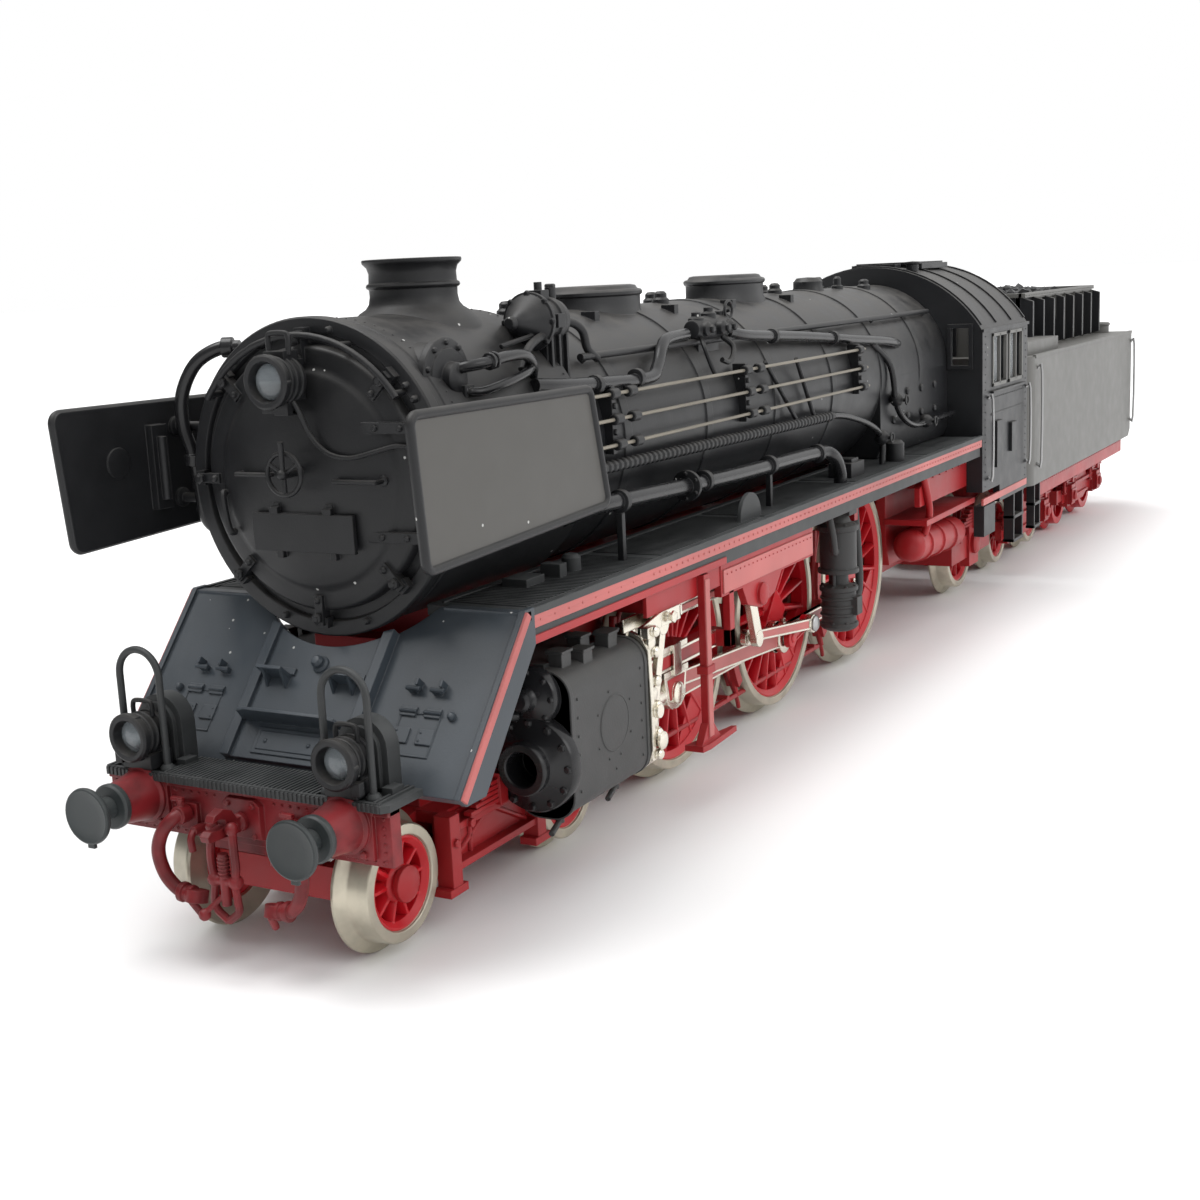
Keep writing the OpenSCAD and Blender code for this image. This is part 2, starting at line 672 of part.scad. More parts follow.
module turbo_generator() in_frame() color(black) difference() {
    union() {
        translate([-38.6, 8.6, 47.4]) rotate([0, 90, 0]) cylinder(h = 2.6, r1 = 2.3, r2 = 0.7);
        bar_x(-35.6, -36.2, 0.7, 8.6, 47.4);
        bar_x(-38.5, -39.1, 2.6, 8.6, 47.4);
        bar_x(-39, -43.5, 1.9, 8.6, 47.4);
        block([-42.4, 7.4, 43], [-39.6, 9.8, 46.5]);
    }
    bar_x(0, -60, smokebox_r + seat, 0, boiler_z);
}

// ---------- Fittings ----------

// Tilted side plates with round corners and their stays
module smoke_deflectors() in_frame() color(grey) both_sides() difference() {
    union() {
        plate_xz(half_width - 0.3, half_width + 0.5) hull() {
            translate([-8.6, 41.4]) circle(r = 1.2);
            translate([-9.4, 31.8]) circle(r = 1.2);
            translate([-32.6, 41.2]) circle(r = 1.2);
            translate([-34.6, 32.8]) circle(r = 1.2);
        }
        for (x = [-21, -32], z = [33.8, 40]) bar_y(10, half_width, 0.45, x, z);
    }
    bar_x(0, -60, smokebox_r + 0.35, 0, boiler_z);
}

module handrails() in_frame() color(black) {
    both_sides() {
        bar_x(-45, -147, 0.35, 10, boiler_z + 7.9);
        for (x = [-46, -72, -98, -124, -146]) difference() {
            translate([x, 0, boiler_z]) rotate([-51.7, 0, 0]) bar_z(11, 12.9, 0.3);
            bar_x(0, -160, boiler_r + 0.18, 0, boiler_z);
        }
    }
    // Arched rail over the smokebox door
    translate([smoke_x + 1.4, 0, boiler_z]) rotate([90, 0, 90]) rotate([0, 0, 35])
        rotate_extrude(angle = 110) translate([11.6, 0]) circle(r = 0.28);
    for (a = [-53, -22, 22, 53]) translate([smoke_x, 0, boiler_z]) rotate([a, 0, 0])
        translate([seat, 0, 11.6]) rotate([0, 90, 0]) cylinder(h = 1.4, r = 0.25);
}

module boiler_pipes() in_frame() color(black) both_sides() {
    // Long feed pipe over the running board, in clips
    bar_x(-42.5, -94, 0.8, 13.6, 30.4);
    for (x = [-44, -62, -93]) bar_x(x + 0.5, x - 0.5, 1.2, 13.6, 30.4);
    for (x = [-44, -93]) block([x - 0.4, 13.2, board_z + board_t + seat], [x + 0.4, 14, 30]);
    // Control rods in their carriers
    for (z = [34.4, 36.8, 39.2]) bar_x(-40, -84, 0.3, 13.3, z);
    for (x = [-43, -83]) difference() {
        block([x - 0.4, 11, 34], [x + 0.4, 13.5, 39.6]);
        bar_x(0, -160, smokebox_r + 0.1, 0, boiler_z);
    }
}

module steam_pumps() in_frame() color(grey) both_sides() {
    bar_z(7.4, 13.2, 2.3, -98.5, 14.3);
    bar_z(14.2, 20.4, 2.5, -98.5, 14.3);
    bar_z(12.9, 14.4, 1.5, -98.5, 14.3);
    bar_z(20.2, 22, 1.4, -98.5, 14.3);
    block([-99.6, 12.2, 21.8], [-97.4, 16.4, board_z - seat]);
}

// ---------- Cab ----------

cab_eaves = 40.7;
cab_roof_r = 20.1;
cab_roof_z = 30.3;
cab_y = 17.2;

// Outline of the cab seen from the front, shrunk by a wall thickness
module cab_outline(in) {
    translate([-cab_y + in, 14.4]) square([2 * (cab_y - in), cab_eaves - 14.4]);
    intersection() {
        translate([0, cab_roof_z]) circle(r = cab_roof_r - in);
        translate([-cab_y + in, cab_eaves - 1]) square([2 * (cab_y - in), 20]);
    }
}

module cab_shell() in_frame() color(black) difference() {
    plate_yz(cab_end, boiler_end - seat) cab_outline(0);
    // Inside, open at the back and the bottom
    plate_yz(cab_end - 1, boiler_end - 1.2) {
        cab_outline(1);
        translate([-cab_y + 1, 10]) square([2 * (cab_y - 1), 10]);
    }
    // Side and front windows
    for (x = [-163.3, -172.4]) plate_xz(-30, 30) round_rect([x, 32.6], [x + 7.4, 39.8], 0.7);
    both_sides() plate_yz(-152, -150) round_rect([12.4, 35.6], [15.4, 41.4], 0.6);
    // Clearance over the running gear under the cab front
    block([-152, -14.8, 14], [-149, 14.8, 22.6]);
    block([-160, -30, 14], [-149, 30, 17]);
}

module cab_glazing() in_frame() color("#cfd8dc") both_sides()
    for (x = [-163.8, -172.9]) block([x, cab_y - 1.3, 32], [x + 8.4, cab_y - 1 - seat, 40.4]);

// ---------- Leading bogie and trailing truck ----------

module lead_bogie_frame() in_frame() color(red) difference() {
    union() {
        both_sides() plate_xz(4.6, 6.2)
            polygon([[-10.2, 3.8], [-10.2, 6.6], [-21, 8.2], [-32, 8.2], [-42.4, 6.6], [-42.4, 3.8]]);
        block([-32, -6.2, 6.8], [-21, 6.2, 9.6]);
        for (x = [-11.2, -42.4]) block([x, -6.2, 3.8], [x + 1, 6.2, 6.6]);
        both_sides() {
            block([-31.4, 6, 4.2], [-20.4, 8.8, 5.4]);
            block([-31.4, 6, 7.2], [-20.4, 8.8, 8.2]);
            for (x = [-31.4, -21.6]) block([x, 7.8, 4.2], [x + 1.2, 8.8, 8.2]);
        }
    }
    for (x = [-lead_1, -lead_2]) bar_y(-8, 8, 1 + running, x, lead_d / 2);
    bar_z(0, 20, 1.5 + running, bogie_pin);
}

module trailing_truck_frame() in_frame() color(red) difference() {
    union() {
        block([-trail_axle + 9.2, -2.2, 7], [truck_pin, 2.2, 8.6]);
        bar_z(7, 8.6, 3, truck_pin);
        block([-trail_axle + 9, -11.8, 5.2], [-trail_axle + 10.4, 11.8, 8.6]);
        block([-trail_axle - 10.2, -11.8, 5.2], [-trail_axle - 9, 11.8, 8.6]);
        both_sides() {
            block([-trail_axle - 10.2, 10.7, 5.2], [-trail_axle + 10.4, 11.8, 8.8]);
            block([-trail_axle - 2.4, 10.7, 3.8], [-trail_axle + 2.4, 12.2, 10.2]);
        }
    }
    bar_y(-20, 20, 0.9 + running, -trail_axle, trail_d / 2);
    bar_z(0, 20, 1.5 + running, truck_pin);
}

// ---------- Tender ----------

module drawbar() in_frame() color(steel) difference() {
    union() {
        block([tender_pin_x, -1.5, 13.6], [drawbar_x, 1.5, 14.6]);
        for (x = [drawbar_x, tender_pin_x]) bar_z(13.6, 14.6, 2.2, x);
    }
    for (x = [drawbar_x, tender_pin_x]) bar_z(13, 15, 1 + running, x);
}

module tender_frame() in_frame() color(red) difference() {
    union() {
        plate_xy(14.9, 16.4) tender_plan(tender_wall + 0.1);
        both_sides() block([tender_back + 6, 15, 11], [tender_front - 4, 15.9, 15]);
        bar_z(13.1, 15, 1, tender_pin_x);
        bar_z(10.6, 15, 1.5, bogie_1);
        // Rear buffer beam with its buffers
        block([tender_back - 1.3, -14, 10.2], [tender_back - seat, 14, 14.4]);
        block([tender_back - 1.3, -13, 13.4], [tender_back + 2, 13, 15]);
        both_sides() {
            bar_x(tender_back - 1, tender_back - 4.6, 1.8, 10.06, 12.07);
            bar_x(tender_back - 4, -buffer_length + 0.7, 0.9, 10.06, 12.07);
            bar_x(-buffer_length + 0.8, -buffer_length, 2.25, 10.06, 12.07);
        }
        // Post and pin of the rear coupler
        block([coupler_x - 2, -2.5, 10.2], [coupler_x + 2, 2.5, 15]);
        bar_z(7, 10.4, 0.9, coupler_x);
    }
    bar_z(10, 20, 9.6, bogie_2);
}

// Outline of the tender side, with its lower rear corner cut off
module tender_side_2d() polygon([
    [tender_front, 13.9], [tender_front, deck_z], [tender_back, deck_z], [tender_back, 17.5], [tender_back + 4.4, 13.9]
]);

// Tender walls seen from above, with round rear corners
module tender_plan(in) round_rect([tender_back + in, -17 + in], [tender_front - in, 17 - in], 3 - in);

module tender_body() in_frame() color(grey) difference() {
    union() {
        intersection() {
            plate_xz(-20, 20) tender_side_2d();
            plate_xy(10, deck_z) tender_plan(0);
        }
        block([bunker[1], -bunker_y, deck_z - 0.5], [bunker[0], bunker_y, bunker_z]);
        for (i = [0 : 6]) {
            x = bunker[0] - 0.5 - i * (bunker[0] - bunker[1] - 1) / 6;
            block([x - 0.45, -bunker_y - 0.7, deck_z - 0.5], [x + 0.45, bunker_y + 0.7, bunker_z - 0.8]);
        }
        block([bunker[1], -bunker_y - 0.4, bunker_z - 0.9], [bunker[0], bunker_y + 0.4, bunker_z]);
        // Water filler and rear lamp blocks
        block([-260, -4, deck_z - 0.5], [-255.4, 4, deck_z + 1.8]);
    }
    plate_xy(10, deck_z - tender_wall) tender_plan(tender_wall);
    plate_xy(10, bunker_z + 1)
        translate([bunker[1] + 1, -bunker_y + 1]) square([bunker[0] - bunker[1] - 2, 2 * bunker_y - 2]);
    block([tender_front - 2, -12, 10], [tender_front + 1, 12, 15]);
    block([tender_back - 1, -14.2, 10], [tender_back + 4, 14.2, 15.1]);
}

module coal_load() in_frame() color("#101010") {
    difference() {
        block([bunker[1] + 1.05, -bunker_y + 1.05, 38], [bunker[0] - 1.05, bunker_y - 1.05, 43.6]);
        block([bunker[1] + 3, -bunker_y + 3, 37], [bunker[0] - 3, bunker_y - 3, 41]);
    }
    for (i = [0 : 3]) translate([bunker[1] + 9.4 + i * 9.06, 0, 36.2]) rotate([0, 0, i * 25]) intersection() {
        sphere(r = 9.6);
        block([-7, -7, 5.5], [7, 7, 10]);
    }
}

// Outside side frame of a tender bogie with its axle boxes and springs
module bogie_side(x) {
    plate_xz(10.5, 11.6) polygon([
        [x - 14.6, 4.4], [x - 14.6, 7.6], [x - 6, 7.6], [x - 3, 10.4], [x + 3, 10.4], [x + 6, 7.6],
        [x + 14.6, 7.6], [x + 14.6, 4.4], [x + 6, 4.4], [x + 3, 3.4], [x - 3, 3.4], [x - 6, 4.4]
    ]);
    for (s = [1, -1]) {
        block([x + s * tender_pitch / 2 - 1.7, 10.5, 3.6], [x + s * tender_pitch / 2 + 1.7, 12.1, 8.6]);
    }
}

module bogie_bearings(x)
    for (s = [1, -1]) bar_y(-20, 20, 0.8 + running, x + s * tender_pitch / 2, tender_d / 2);

module tender_bogie_frame() in_frame() color(red) difference() {
    union() {
        both_sides() bogie_side(bogie_1);
        block([bogie_1 - 3.3, -10.6, 8], [bogie_1 + 3.3, 10.6, 10]);
        bar_z(8, 12.6, 4.2, bogie_1);
    }
    bogie_bearings(bogie_1);
    bar_z(0, 20, 1.5 + running, bogie_1);
}

module tender_wheelset(x) {
    wheelset(x, tender_d, 10, 1.7, 0.6, 1.1);
    journals(x, tender_d, 0.8, 11.4);
}

module tender_wheelset_front() in_frame() color(red) tender_wheelset(bogie_1 + tender_pitch / 2);
module tender_wheelset_rear() in_frame() color(red) tender_wheelset(bogie_1 - tender_pitch / 2);

module power_bogie_frame() in_frame() color(black) difference() {
    union() {
        both_sides() {
            bogie_side(bogie_2);
            block([bogie_2 - 18.6, 4.2, 4.4], [bogie_2 + 18.6, 5.2, 9.4]);
            block([bogie_2 - 18.6, 10.6, 5], [bogie_2 + 18.6, 11.5, 7.2]);
        }
        for (s = [1, -1]) {
            block([bogie_2 + s * 18.4 - 0.5, -11.6, 4.8], [bogie_2 + s * 18.4 + 0.5, 11.6, 7.4]);
            block([bogie_2 + s * 8.7 - 0.7, -5.2, 7], [bogie_2 + s * 8.7 + 0.7, 5.2, 9.4]);
            block([bogie_2 + s * 8.6 - 0.7, -1.2, 7.2], [bogie_2 + s * 8.6 + 0.7, 1.2, 15]);
        }
        // Turntable ring that centres the bogie in the tender floor
        bar_z(14, 16.2, 9.5, bogie_2);
        bar_y(5.1, gear_y[1], 0.8, bogie_2, idler_z);
    }
    bar_z(13, 17, 9.1, bogie_2);
    bar_y(-5.6, 5.45, 7.4, bogie_2, motor_z);
    bogie_bearings(bogie_2);
    for (s = [1, -1]) bar_y(-5.6, 5.6, 1.1 + running, bogie_2 + s * tender_pitch / 2, tender_d / 2);
}

// ---------- Motor and gears ----------

// Spur gear outline with slim straight-flanked teeth, first tooth on +X
module gear_2d(teeth, phase) {
    r = teeth * gear_m / 2;
    root = r - 1.15 * gear_m;
    tip = r + 0.75 * gear_m;
    pitch = 360 / teeth;
    rotate(phase) {
        circle(r = root);
        for (i = [0 : teeth - 1]) rotate(i * pitch) polygon([
            [root - 0.2, -root * sin(pitch * 0.25)], [r, -r * sin(pitch * 0.19)], [tip, -tip * sin(pitch * 0.09)],
            [tip, tip * sin(pitch * 0.09)], [r, r * sin(pitch * 0.19)], [root - 0.2, root * sin(pitch * 0.25)]
        ]);
    }
}

module gear(teeth, x, z, phase) plate_xz(gear_y[0], gear_y[1]) translate([x, z]) gear_2d(teeth, phase);

// Phase that puts a gap opposite the idler's tooth, for a gear in direction a from the idler
function mesh_phase(teeth, a) = a + 180 + idler_teeth / teeth * a + 180 / teeth;

front_gear_dir = -atan2(idler_rise, tender_pitch / 2);

module drive_gear() in_frame() color("#d8d2c0") difference() {
    gear(idler_teeth, bogie_2, idler_z, 0);
    bar_y(5, 7, 0.8 + running, bogie_2, idler_z);
}

module power_wheelset(s) {
    x = bogie_2 + s * tender_pitch / 2;
    dir = s > 0 ? front_gear_dir : -180 - front_gear_dir;
    tender_wheelset(x);
    gear(axle_teeth, x, tender_d / 2, mesh_phase(axle_teeth, dir));
}

module power_wheelset_front() in_frame() color(red) power_wheelset(1);
module power_wheelset_rear() in_frame() color(red) power_wheelset(-1);

module motor_housing() in_frame() color(steel) difference() {
    bar_y(-5.3, 5.3, 7.3, bogie_2, motor_z);
    bar_y(-4.5, 4.5, 6.3, bogie_2, motor_z);
    bar_y(-6, 6, 0.8 + running, bogie_2, motor_z);
}

module motor_armature() in_frame() color("#b06a3a") {
    bar_y(-3.4, 3.4, 5.9, bogie_2, motor_z);
    bar_y(-4.3, -3.3, 2.6, bogie_2, motor_z);
    bar_y(-5.6, 6.9, 0.8, bogie_2, motor_z);
    gear(pinion_teeth, bogie_2, motor_z, mesh_phase(pinion_teeth, 90));
}

// Standard loop coupler on a swinging shank
module rear_coupler() in_frame() color(black) difference() {
    union() {
        block([-buffer_length - 1.5, -1.5, 7.5], [coupler_x, 1.5, 9.6]);
        bar_z(7.5, 9.6, 2.2, coupler_x);
        block([-buffer_length - 2.2, -1, 7.5], [-buffer_length - 1.4, 1, 11.6]);
        plate_xy(8.2, 9.2) difference() {
            round_rect([-overall, -7.5], [-buffer_length - 1, 7.5], 1.2);
            round_rect([-overall + 0.9, -6.6], [-buffer_length - 1.5, 6.6], 0.6);
        }
    }
    bar_z(0, 20, 0.9 + running, coupler_x);
}

main_frame();
buffer_beam();
buffer_heads();
coupling_and_hoses();
front_platform();
front_apron();
running_boards();
boiler_shell();
smokebox_front();
feedwater_heater();
turbo_generator();
smoke_deflectors();
handrails();
boiler_pipes();
steam_pumps();
head_lamps();
lamp_lenses();
cylinder_block();
slide_bars();
cab_shell();
cab_glazing();
keeper_plate();
chassis_screws();
ballast_weight();
lead_bogie_frame();
lead_wheelset_front();
lead_wheelset_rear();
driver_wheelset_front();
driver_wheelset_middle();
driver_wheelset_rear();
coupling_rod_left();
coupling_rod_right();
main_rod_left();
main_rod_right();
eccentric_rod_left();
eccentric_rod_right();
crosshead_left();
crosshead_right();
combination_lever_left();
combination_lever_right();
expansion_link_left();
expansion_link_right();
radius_rod_left();
radius_rod_right();
trailing_truck_frame();
trailing_wheelset();
drawbar();
tender_frame();
tender_body();
coal_load();
tender_bogie_frame();
tender_wheelset_front();
tender_wheelset_rear();
power_bogie_frame();
power_wheelset_front();
power_wheelset_rear();
motor_housing();
motor_armature();
drive_gear();
rear_coupler();
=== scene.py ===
"""Looks of a 1:87 model of an express steam locomotive with its tender.

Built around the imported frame. Inside this script a point is given in track
coordinates, in millimetres: X from the front buffer faces (backwards is
negative), Y to the locomotive's left, Z up from the top of the rail.
"""
import math
import random

import bmesh
import bpy
from mathutils import Matrix, Vector, noise


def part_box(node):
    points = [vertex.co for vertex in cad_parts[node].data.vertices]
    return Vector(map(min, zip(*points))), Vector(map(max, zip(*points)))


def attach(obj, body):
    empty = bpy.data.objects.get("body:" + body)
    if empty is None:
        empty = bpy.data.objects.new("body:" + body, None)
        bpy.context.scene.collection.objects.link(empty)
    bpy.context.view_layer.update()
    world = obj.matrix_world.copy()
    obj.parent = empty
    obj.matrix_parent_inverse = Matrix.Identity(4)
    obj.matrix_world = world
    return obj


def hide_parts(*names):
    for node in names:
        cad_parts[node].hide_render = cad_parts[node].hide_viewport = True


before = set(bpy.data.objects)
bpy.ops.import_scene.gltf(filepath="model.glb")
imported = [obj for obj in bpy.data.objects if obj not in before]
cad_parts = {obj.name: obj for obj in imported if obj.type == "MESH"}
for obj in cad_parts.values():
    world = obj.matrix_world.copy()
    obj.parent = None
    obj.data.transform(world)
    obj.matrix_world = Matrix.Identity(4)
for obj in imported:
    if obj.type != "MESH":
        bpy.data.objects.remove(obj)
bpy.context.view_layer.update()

MM = 0.001
FLANGE = 1.0
FRONT_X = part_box("buffer_heads")[1].x + 0.05 * MM
RAIL_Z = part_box("driver_wheelset_front")[0].z + FLANGE * MM
X, Y, Z = Vector((1, 0, 0)), Vector((0, 1, 0)), Vector((0, 0, 1))

# Stations that several pieces share
BOILER_Z = 36.0
BOILER_R = 11.9
SMOKE_R = 12.7
BOILER_END = -150.5
BOARD_Z = 24.4
HALF_WIDTH = 17.3
CYL_Y, CYL_Z, VALVE_Z = 13.7, 11.0, 16.8
CYL_FRONT, CYL_BACK = -28.0, -42.0
DRIVERS = (-62.5, -89.0, -115.5)
CRANK_R, RETURN_R = 3.79, 2.6
BOGIES = (-196.4, -239.4)
TENDER_PITCH = 21.8
DRIVER_Z = 11.5
LEAD_AXLES = (-13.2, -39.0)
TRAIL_X = -163.4
PUMP_X = -98.5
ROOF_Z, ROOF_R, ROOF_BAND_R = 30.3, 19.95, 20.32


def at(p):
    """Track coordinates in millimetres to the frame's metres."""
    return Vector((FRONT_X + p[0] * MM, p[1] * MM, RAIL_Z + p[2] * MM))


# ---------------------------------------------------------------- shapes

def basis(axis):
    """Two unit vectors that stand square to the axis and to each other."""
    w = Vector(axis).normalized()
    u = X if abs(w.z) > 0.9 else Z
    v = w.cross(u).normalized()
    return v.cross(w).normalized(), v, w


def curve_points(points, steps):
    """Catmull-Rom points through the given ones."""
    pts = [Vector(p) for p in points]
    if steps < 2 or len(pts) < 3:
        return pts
    ext = [pts[0] * 2 - pts[1]] + pts + [pts[-1] * 2 - pts[-2]]
    out = []
    for i in range(1, len(ext) - 2):
        a, b, c, d = ext[i - 1:i + 3]
        for k in range(steps):
            t = k / steps
            out.append(0.5 * (2 * b + (c - a) * t + (2 * a - 5 * b + 4 * c - d) * t * t
                              + (3 * b - a - 3 * c + d) * t ** 3))
    return out + [pts[-1]]


def round_outline(a, b, r, n=5):
    """Rectangle with round corners from corner a to corner b."""
    out = []
    for cx, cy, start in ((b[0] - r, b[1] - r, 0), (a[0] + r, b[1] - r, 90),
                          (a[0] + r, a[1] + r, 180), (b[0] - r, a[1] + r, 270)):
        for k in range(n + 1):
            t = math.radians(start + 90 * k / n)
            out.append((cx + r * math.cos(t), cy + r * math.sin(t)))
    return out


def arc(cx, cy, r, a0, a1, n):
    """Points on an arc, angles in degrees."""
    angles = [math.radians(a0 + (a1 - a0) * k / n) for k in range(n + 1)]
    return [(cx + r * math.cos(t), cy + r * math.sin(t)) for t in angles]


def hull_outline(centres, r, n=7):
    """Outline round equal circles on the given centres, which run clockwise."""
    out = []
    for i, (cx, cy) in enumerate(centres):
        px, py = centres[i - 1]
        qx, qy = centres[(i + 1) % len(centres)]
        a0 = math.atan2(cx - px, py - cy)
        turn = (a0 - math.atan2(qx - cx, cy - qy)) % (2 * math.pi)
        out += [(cx + r * math.cos(a0 - turn * k / n), cy + r * math.sin(a0 - turn * k / n))
                for k in range(n + 1)]
    return out


class Shape:
    """Collects closed forms in track millimetres, each with a material index."""

    def __init__(self):
        self.verts, self.faces, self.mats = [], [], []
        self.mat = 0

    def use(self, index):
        self.mat = index
        return self

    def add(self, verts, faces):
        base = len(self.verts)
        self.verts += [tuple(v) for v in verts]
        self.faces += [tuple(i + base for i in f) for f in faces]
        self.mats += [self.mat] * len(faces)
        return self

    def mark(self):
        return len(self.verts), len(self.faces)

    def mirror(self, mark):
        """Adds the other side of everything since the mark."""
        v0, f0 = mark
        shift = len(self.verts) - v0
        self.verts += [(x, -y, z) for x, y, z in self.verts[v0:]]
        for f, m in zip(self.faces[f0:], self.mats[f0:]):
            self.faces.append(tuple(i + shift for i in reversed(f)))
            self.mats.append(m)
        return self

    def slab(self, outline, origin, u, v, t0, t1, taper=1.0):
        """Outline in the plane of u and v, thick from t0 to t1 along u x v."""
        o, u, v = Vector(origin), Vector(u), Vector(v)
        w = u.cross(v).normalized()
        n = len(outline)
        cx = sum(p[0] for p in outline) / n
        cy = sum(p[1] for p in outline) / n
        rows = []
        for t, s in ((t0, 1.0), (t1, taper)):
            rows += [o + u * (cx + (a - cx) * s) + v * (cy + (b - cy) * s) + w * t for a, b in outline]
        faces = [tuple(range(n)), tuple(range(n, 2 * n))]
        faces += [(i, (i + 1) % n, n + (i + 1) % n, n + i) for i in range(n)]
        return self.add(rows, faces)

    def side(self, outline, y0, y1, taper=1.0):
        """Outline in X and Z, from y0 to y1."""
        return self.slab([(a, b) for a, b in outline], (0, 0, 0), X, Z, -y0, -y1, taper)

    def cross(self, outline, x0, x1, taper=1.0):
        """Outline in Y and Z, from x0 to x1."""
        return self.slab(outline, (0, 0, 0), Y, Z, x0, x1, taper)

    def plan(self, outline, z0, z1, taper=1.0):
        """Outline in X and Y, from z0 to z1."""
        return self.slab(outline, (0, 0, 0), X, Y, z0, z1, taper)

    def box(self, a, b):
        lo = [min(p, q) for p, q in zip(a, b)]
        hi = [max(p, q) for p, q in zip(a, b)]
        return self.plan([(lo[0], lo[1]), (hi[0], lo[1]), (hi[0], hi[1]), (lo[0], hi[1])], lo[2], hi[2])

    def lathe(self, profile, origin, axis=X, seg=24, flat=1.0, turn=0.0, loop=False):
        """Profile of (radius, distance along the axis) spun round it; a loop makes a hollow ring."""
        u, v, w = basis(axis)
        o = Vector(origin)
        rings, verts, faces = [], [], []
        for r, t in profile:
            if r < 1e-6:
                rings.append([len(verts)])
                verts.append(o + w * t)
                continue
            rings.append(list(range(len(verts), len(verts) + seg)))
            for k in range(seg):
                a = 2 * math.pi * k / seg + turn
                verts.append(o + w * t + u * (r * math.cos(a)) + v * (r * flat * math.sin(a)))
        for p, q in zip(rings, rings[1:] + rings[:1] if loop else rings[1:]):
            for k in range(seg):
                k2 = (k + 1) % seg
                quad = [p[k % len(p)], p[k2 % len(p)], q[k2 % len(q)], q[k % len(q)]]
                face = [i for j, i in enumerate(quad) if i not in quad[:j]]
                if len(face) > 2:
                    faces.append(tuple(face))
        for ring in () if loop else (rings[0], rings[-1]):
            if len(ring) > 2:
                faces.append(tuple(ring))
        return self.add(verts, faces)

    def flip(self, mark):
        """Moves everything since the mark to the other side."""
        v0, f0 = mark
        self.verts[v0:] = [(x, -y, z) for x, y, z in self.verts[v0:]]
        self.faces[f0:] = [tuple(reversed(f)) for f in self.faces[f0:]]
        return self

    def rod(self, a, b, r, seg=12, r2=None):
        """Round bar between two points."""
        a, b = Vector(a), Vector(b)
        return self.lathe([(r, 0), (r if r2 is None else r2, (b - a).length)], a, b - a, seg)

    def ball(self, c, r, seg=12, flat=1.0):
        n = 6
        prof = [(r * math.sin(math.pi * k / n), -r * flat * math.cos(math.pi * k / n))
                for k in range(n + 1)]
        prof[0], prof[-1] = (0, prof[0][1]), (0, prof[-1][1])
        return self.lathe(prof, c, Z, seg)

    def tube(self, points, r, seg=10, steps=5, closed=False):
        """Round tube along a smooth path."""
        pts = curve_points(points, steps)
        if closed:
            pts = [Vector(p) for p in points]
        n = len(pts)
        tangents = []
        for i in range(n):
            a = pts[i - 1] if i or closed else pts[0]
            b = pts[(i + 1) % n] if i < n - 1 or closed else pts[-1]
            tangents.append((b - a).normalized())
        u, v, _ = basis(tangents[0])
        verts, faces = [], []
        for i in range(n):
            w = tangents[i]
            u = (u - w * u.dot(w)).normalized()
            v = w.cross(u)
            for k in range(seg):
                a = 2 * math.pi * k / seg
                verts.append(pts[i] + u * (r * math.cos(a)) + v * (r * math.sin(a)))
        for i in range(n if closed else n - 1):
            j = (i + 1) % n
            for k in range(seg):
                k2 = (k + 1) % seg
                faces.append((i * seg + k, i * seg + k2, j * seg + k2, j * seg + k))
        if not closed:
            faces += [tuple(range(seg)), tuple(range((n - 1) * seg, n * seg))]
        return self.add(verts, faces)

    def ring(self, c, axis, r, thick, seg=28, tube_seg=8):
        """Torus."""
        u, v, _ = basis(axis)
        c = Vector(c)
        circle = [c + u * (r * math.cos(2 * math.pi * k / seg)) + v * (r * math.sin(2 * math.pi * k / seg))
                  for k in range(seg)]
        return self.tube(circle, thick, tube_seg, 1, True)

    def bolt(self, p, axis, r=0.28, h=0.25, seg=6):
        """Hexagon head with a slightly domed top."""
        return self.lathe([(r, 0), (r, h * 0.7), (r * 0.7, h), (0, h)], p, axis, seg)

    def bolts(self, c, axis, radius, count, r=0.25, h=0.25, start=0.0):
        u, v, _ = basis(axis)
        for k in range(count):
            a = 2 * math.pi * k / count + start
            self.bolt(Vector(c) + u * (radius * math.cos(a)) + v * (radius * math.sin(a)), axis, r, h)
        return self

    def rivets(self, a, b, count, axis, r=0.14, h=0.1):
        a, b = Vector(a), Vector(b)
        for k in range(count):
            p = a.lerp(b, k / max(1, count - 1))
            self.lathe([(r, 0), (r * 0.75, h * 0.7), (0, h)], p, axis, 6)
        return self


def piece(name, shape, mats, body, replaces=(), bevel=0.06, smooth=38):
    """Makes the named object from a shape and lets it ride on a body."""
    mesh = bpy.data.meshes.new(name)
    mesh.from_pydata([at(v) for v in shape.verts], [], shape.faces)
    for m in mats:
        mesh.materials.append(m)
    mesh.polygons.foreach_set("material_index", shape.mats)
    bm = bmesh.new()
    bm.from_mesh(mesh)
    bmesh.ops.recalc_face_normals(bm, faces=bm.faces)
    bm.to_mesh(mesh)
    bm.free()
    mesh.shade_smooth()
    mesh.set_sharp_from_angle(angle=math.radians(smooth))
    obj = bpy.data.objects.new(name, mesh)
    bpy.context.scene.collection.objects.link(obj)
    if bevel:
        mod = obj.modifiers.new("edges", "BEVEL")
        mod.width = bevel * MM
        mod.segments = 2
        mod.limit_method = "ANGLE"
        mod.angle_limit = math.radians(50)
        mod.harden_normals = True
    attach(obj, body)
    if replaces:
        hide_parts(*replaces)
    return obj


# ------------------------------------------------------------- materials

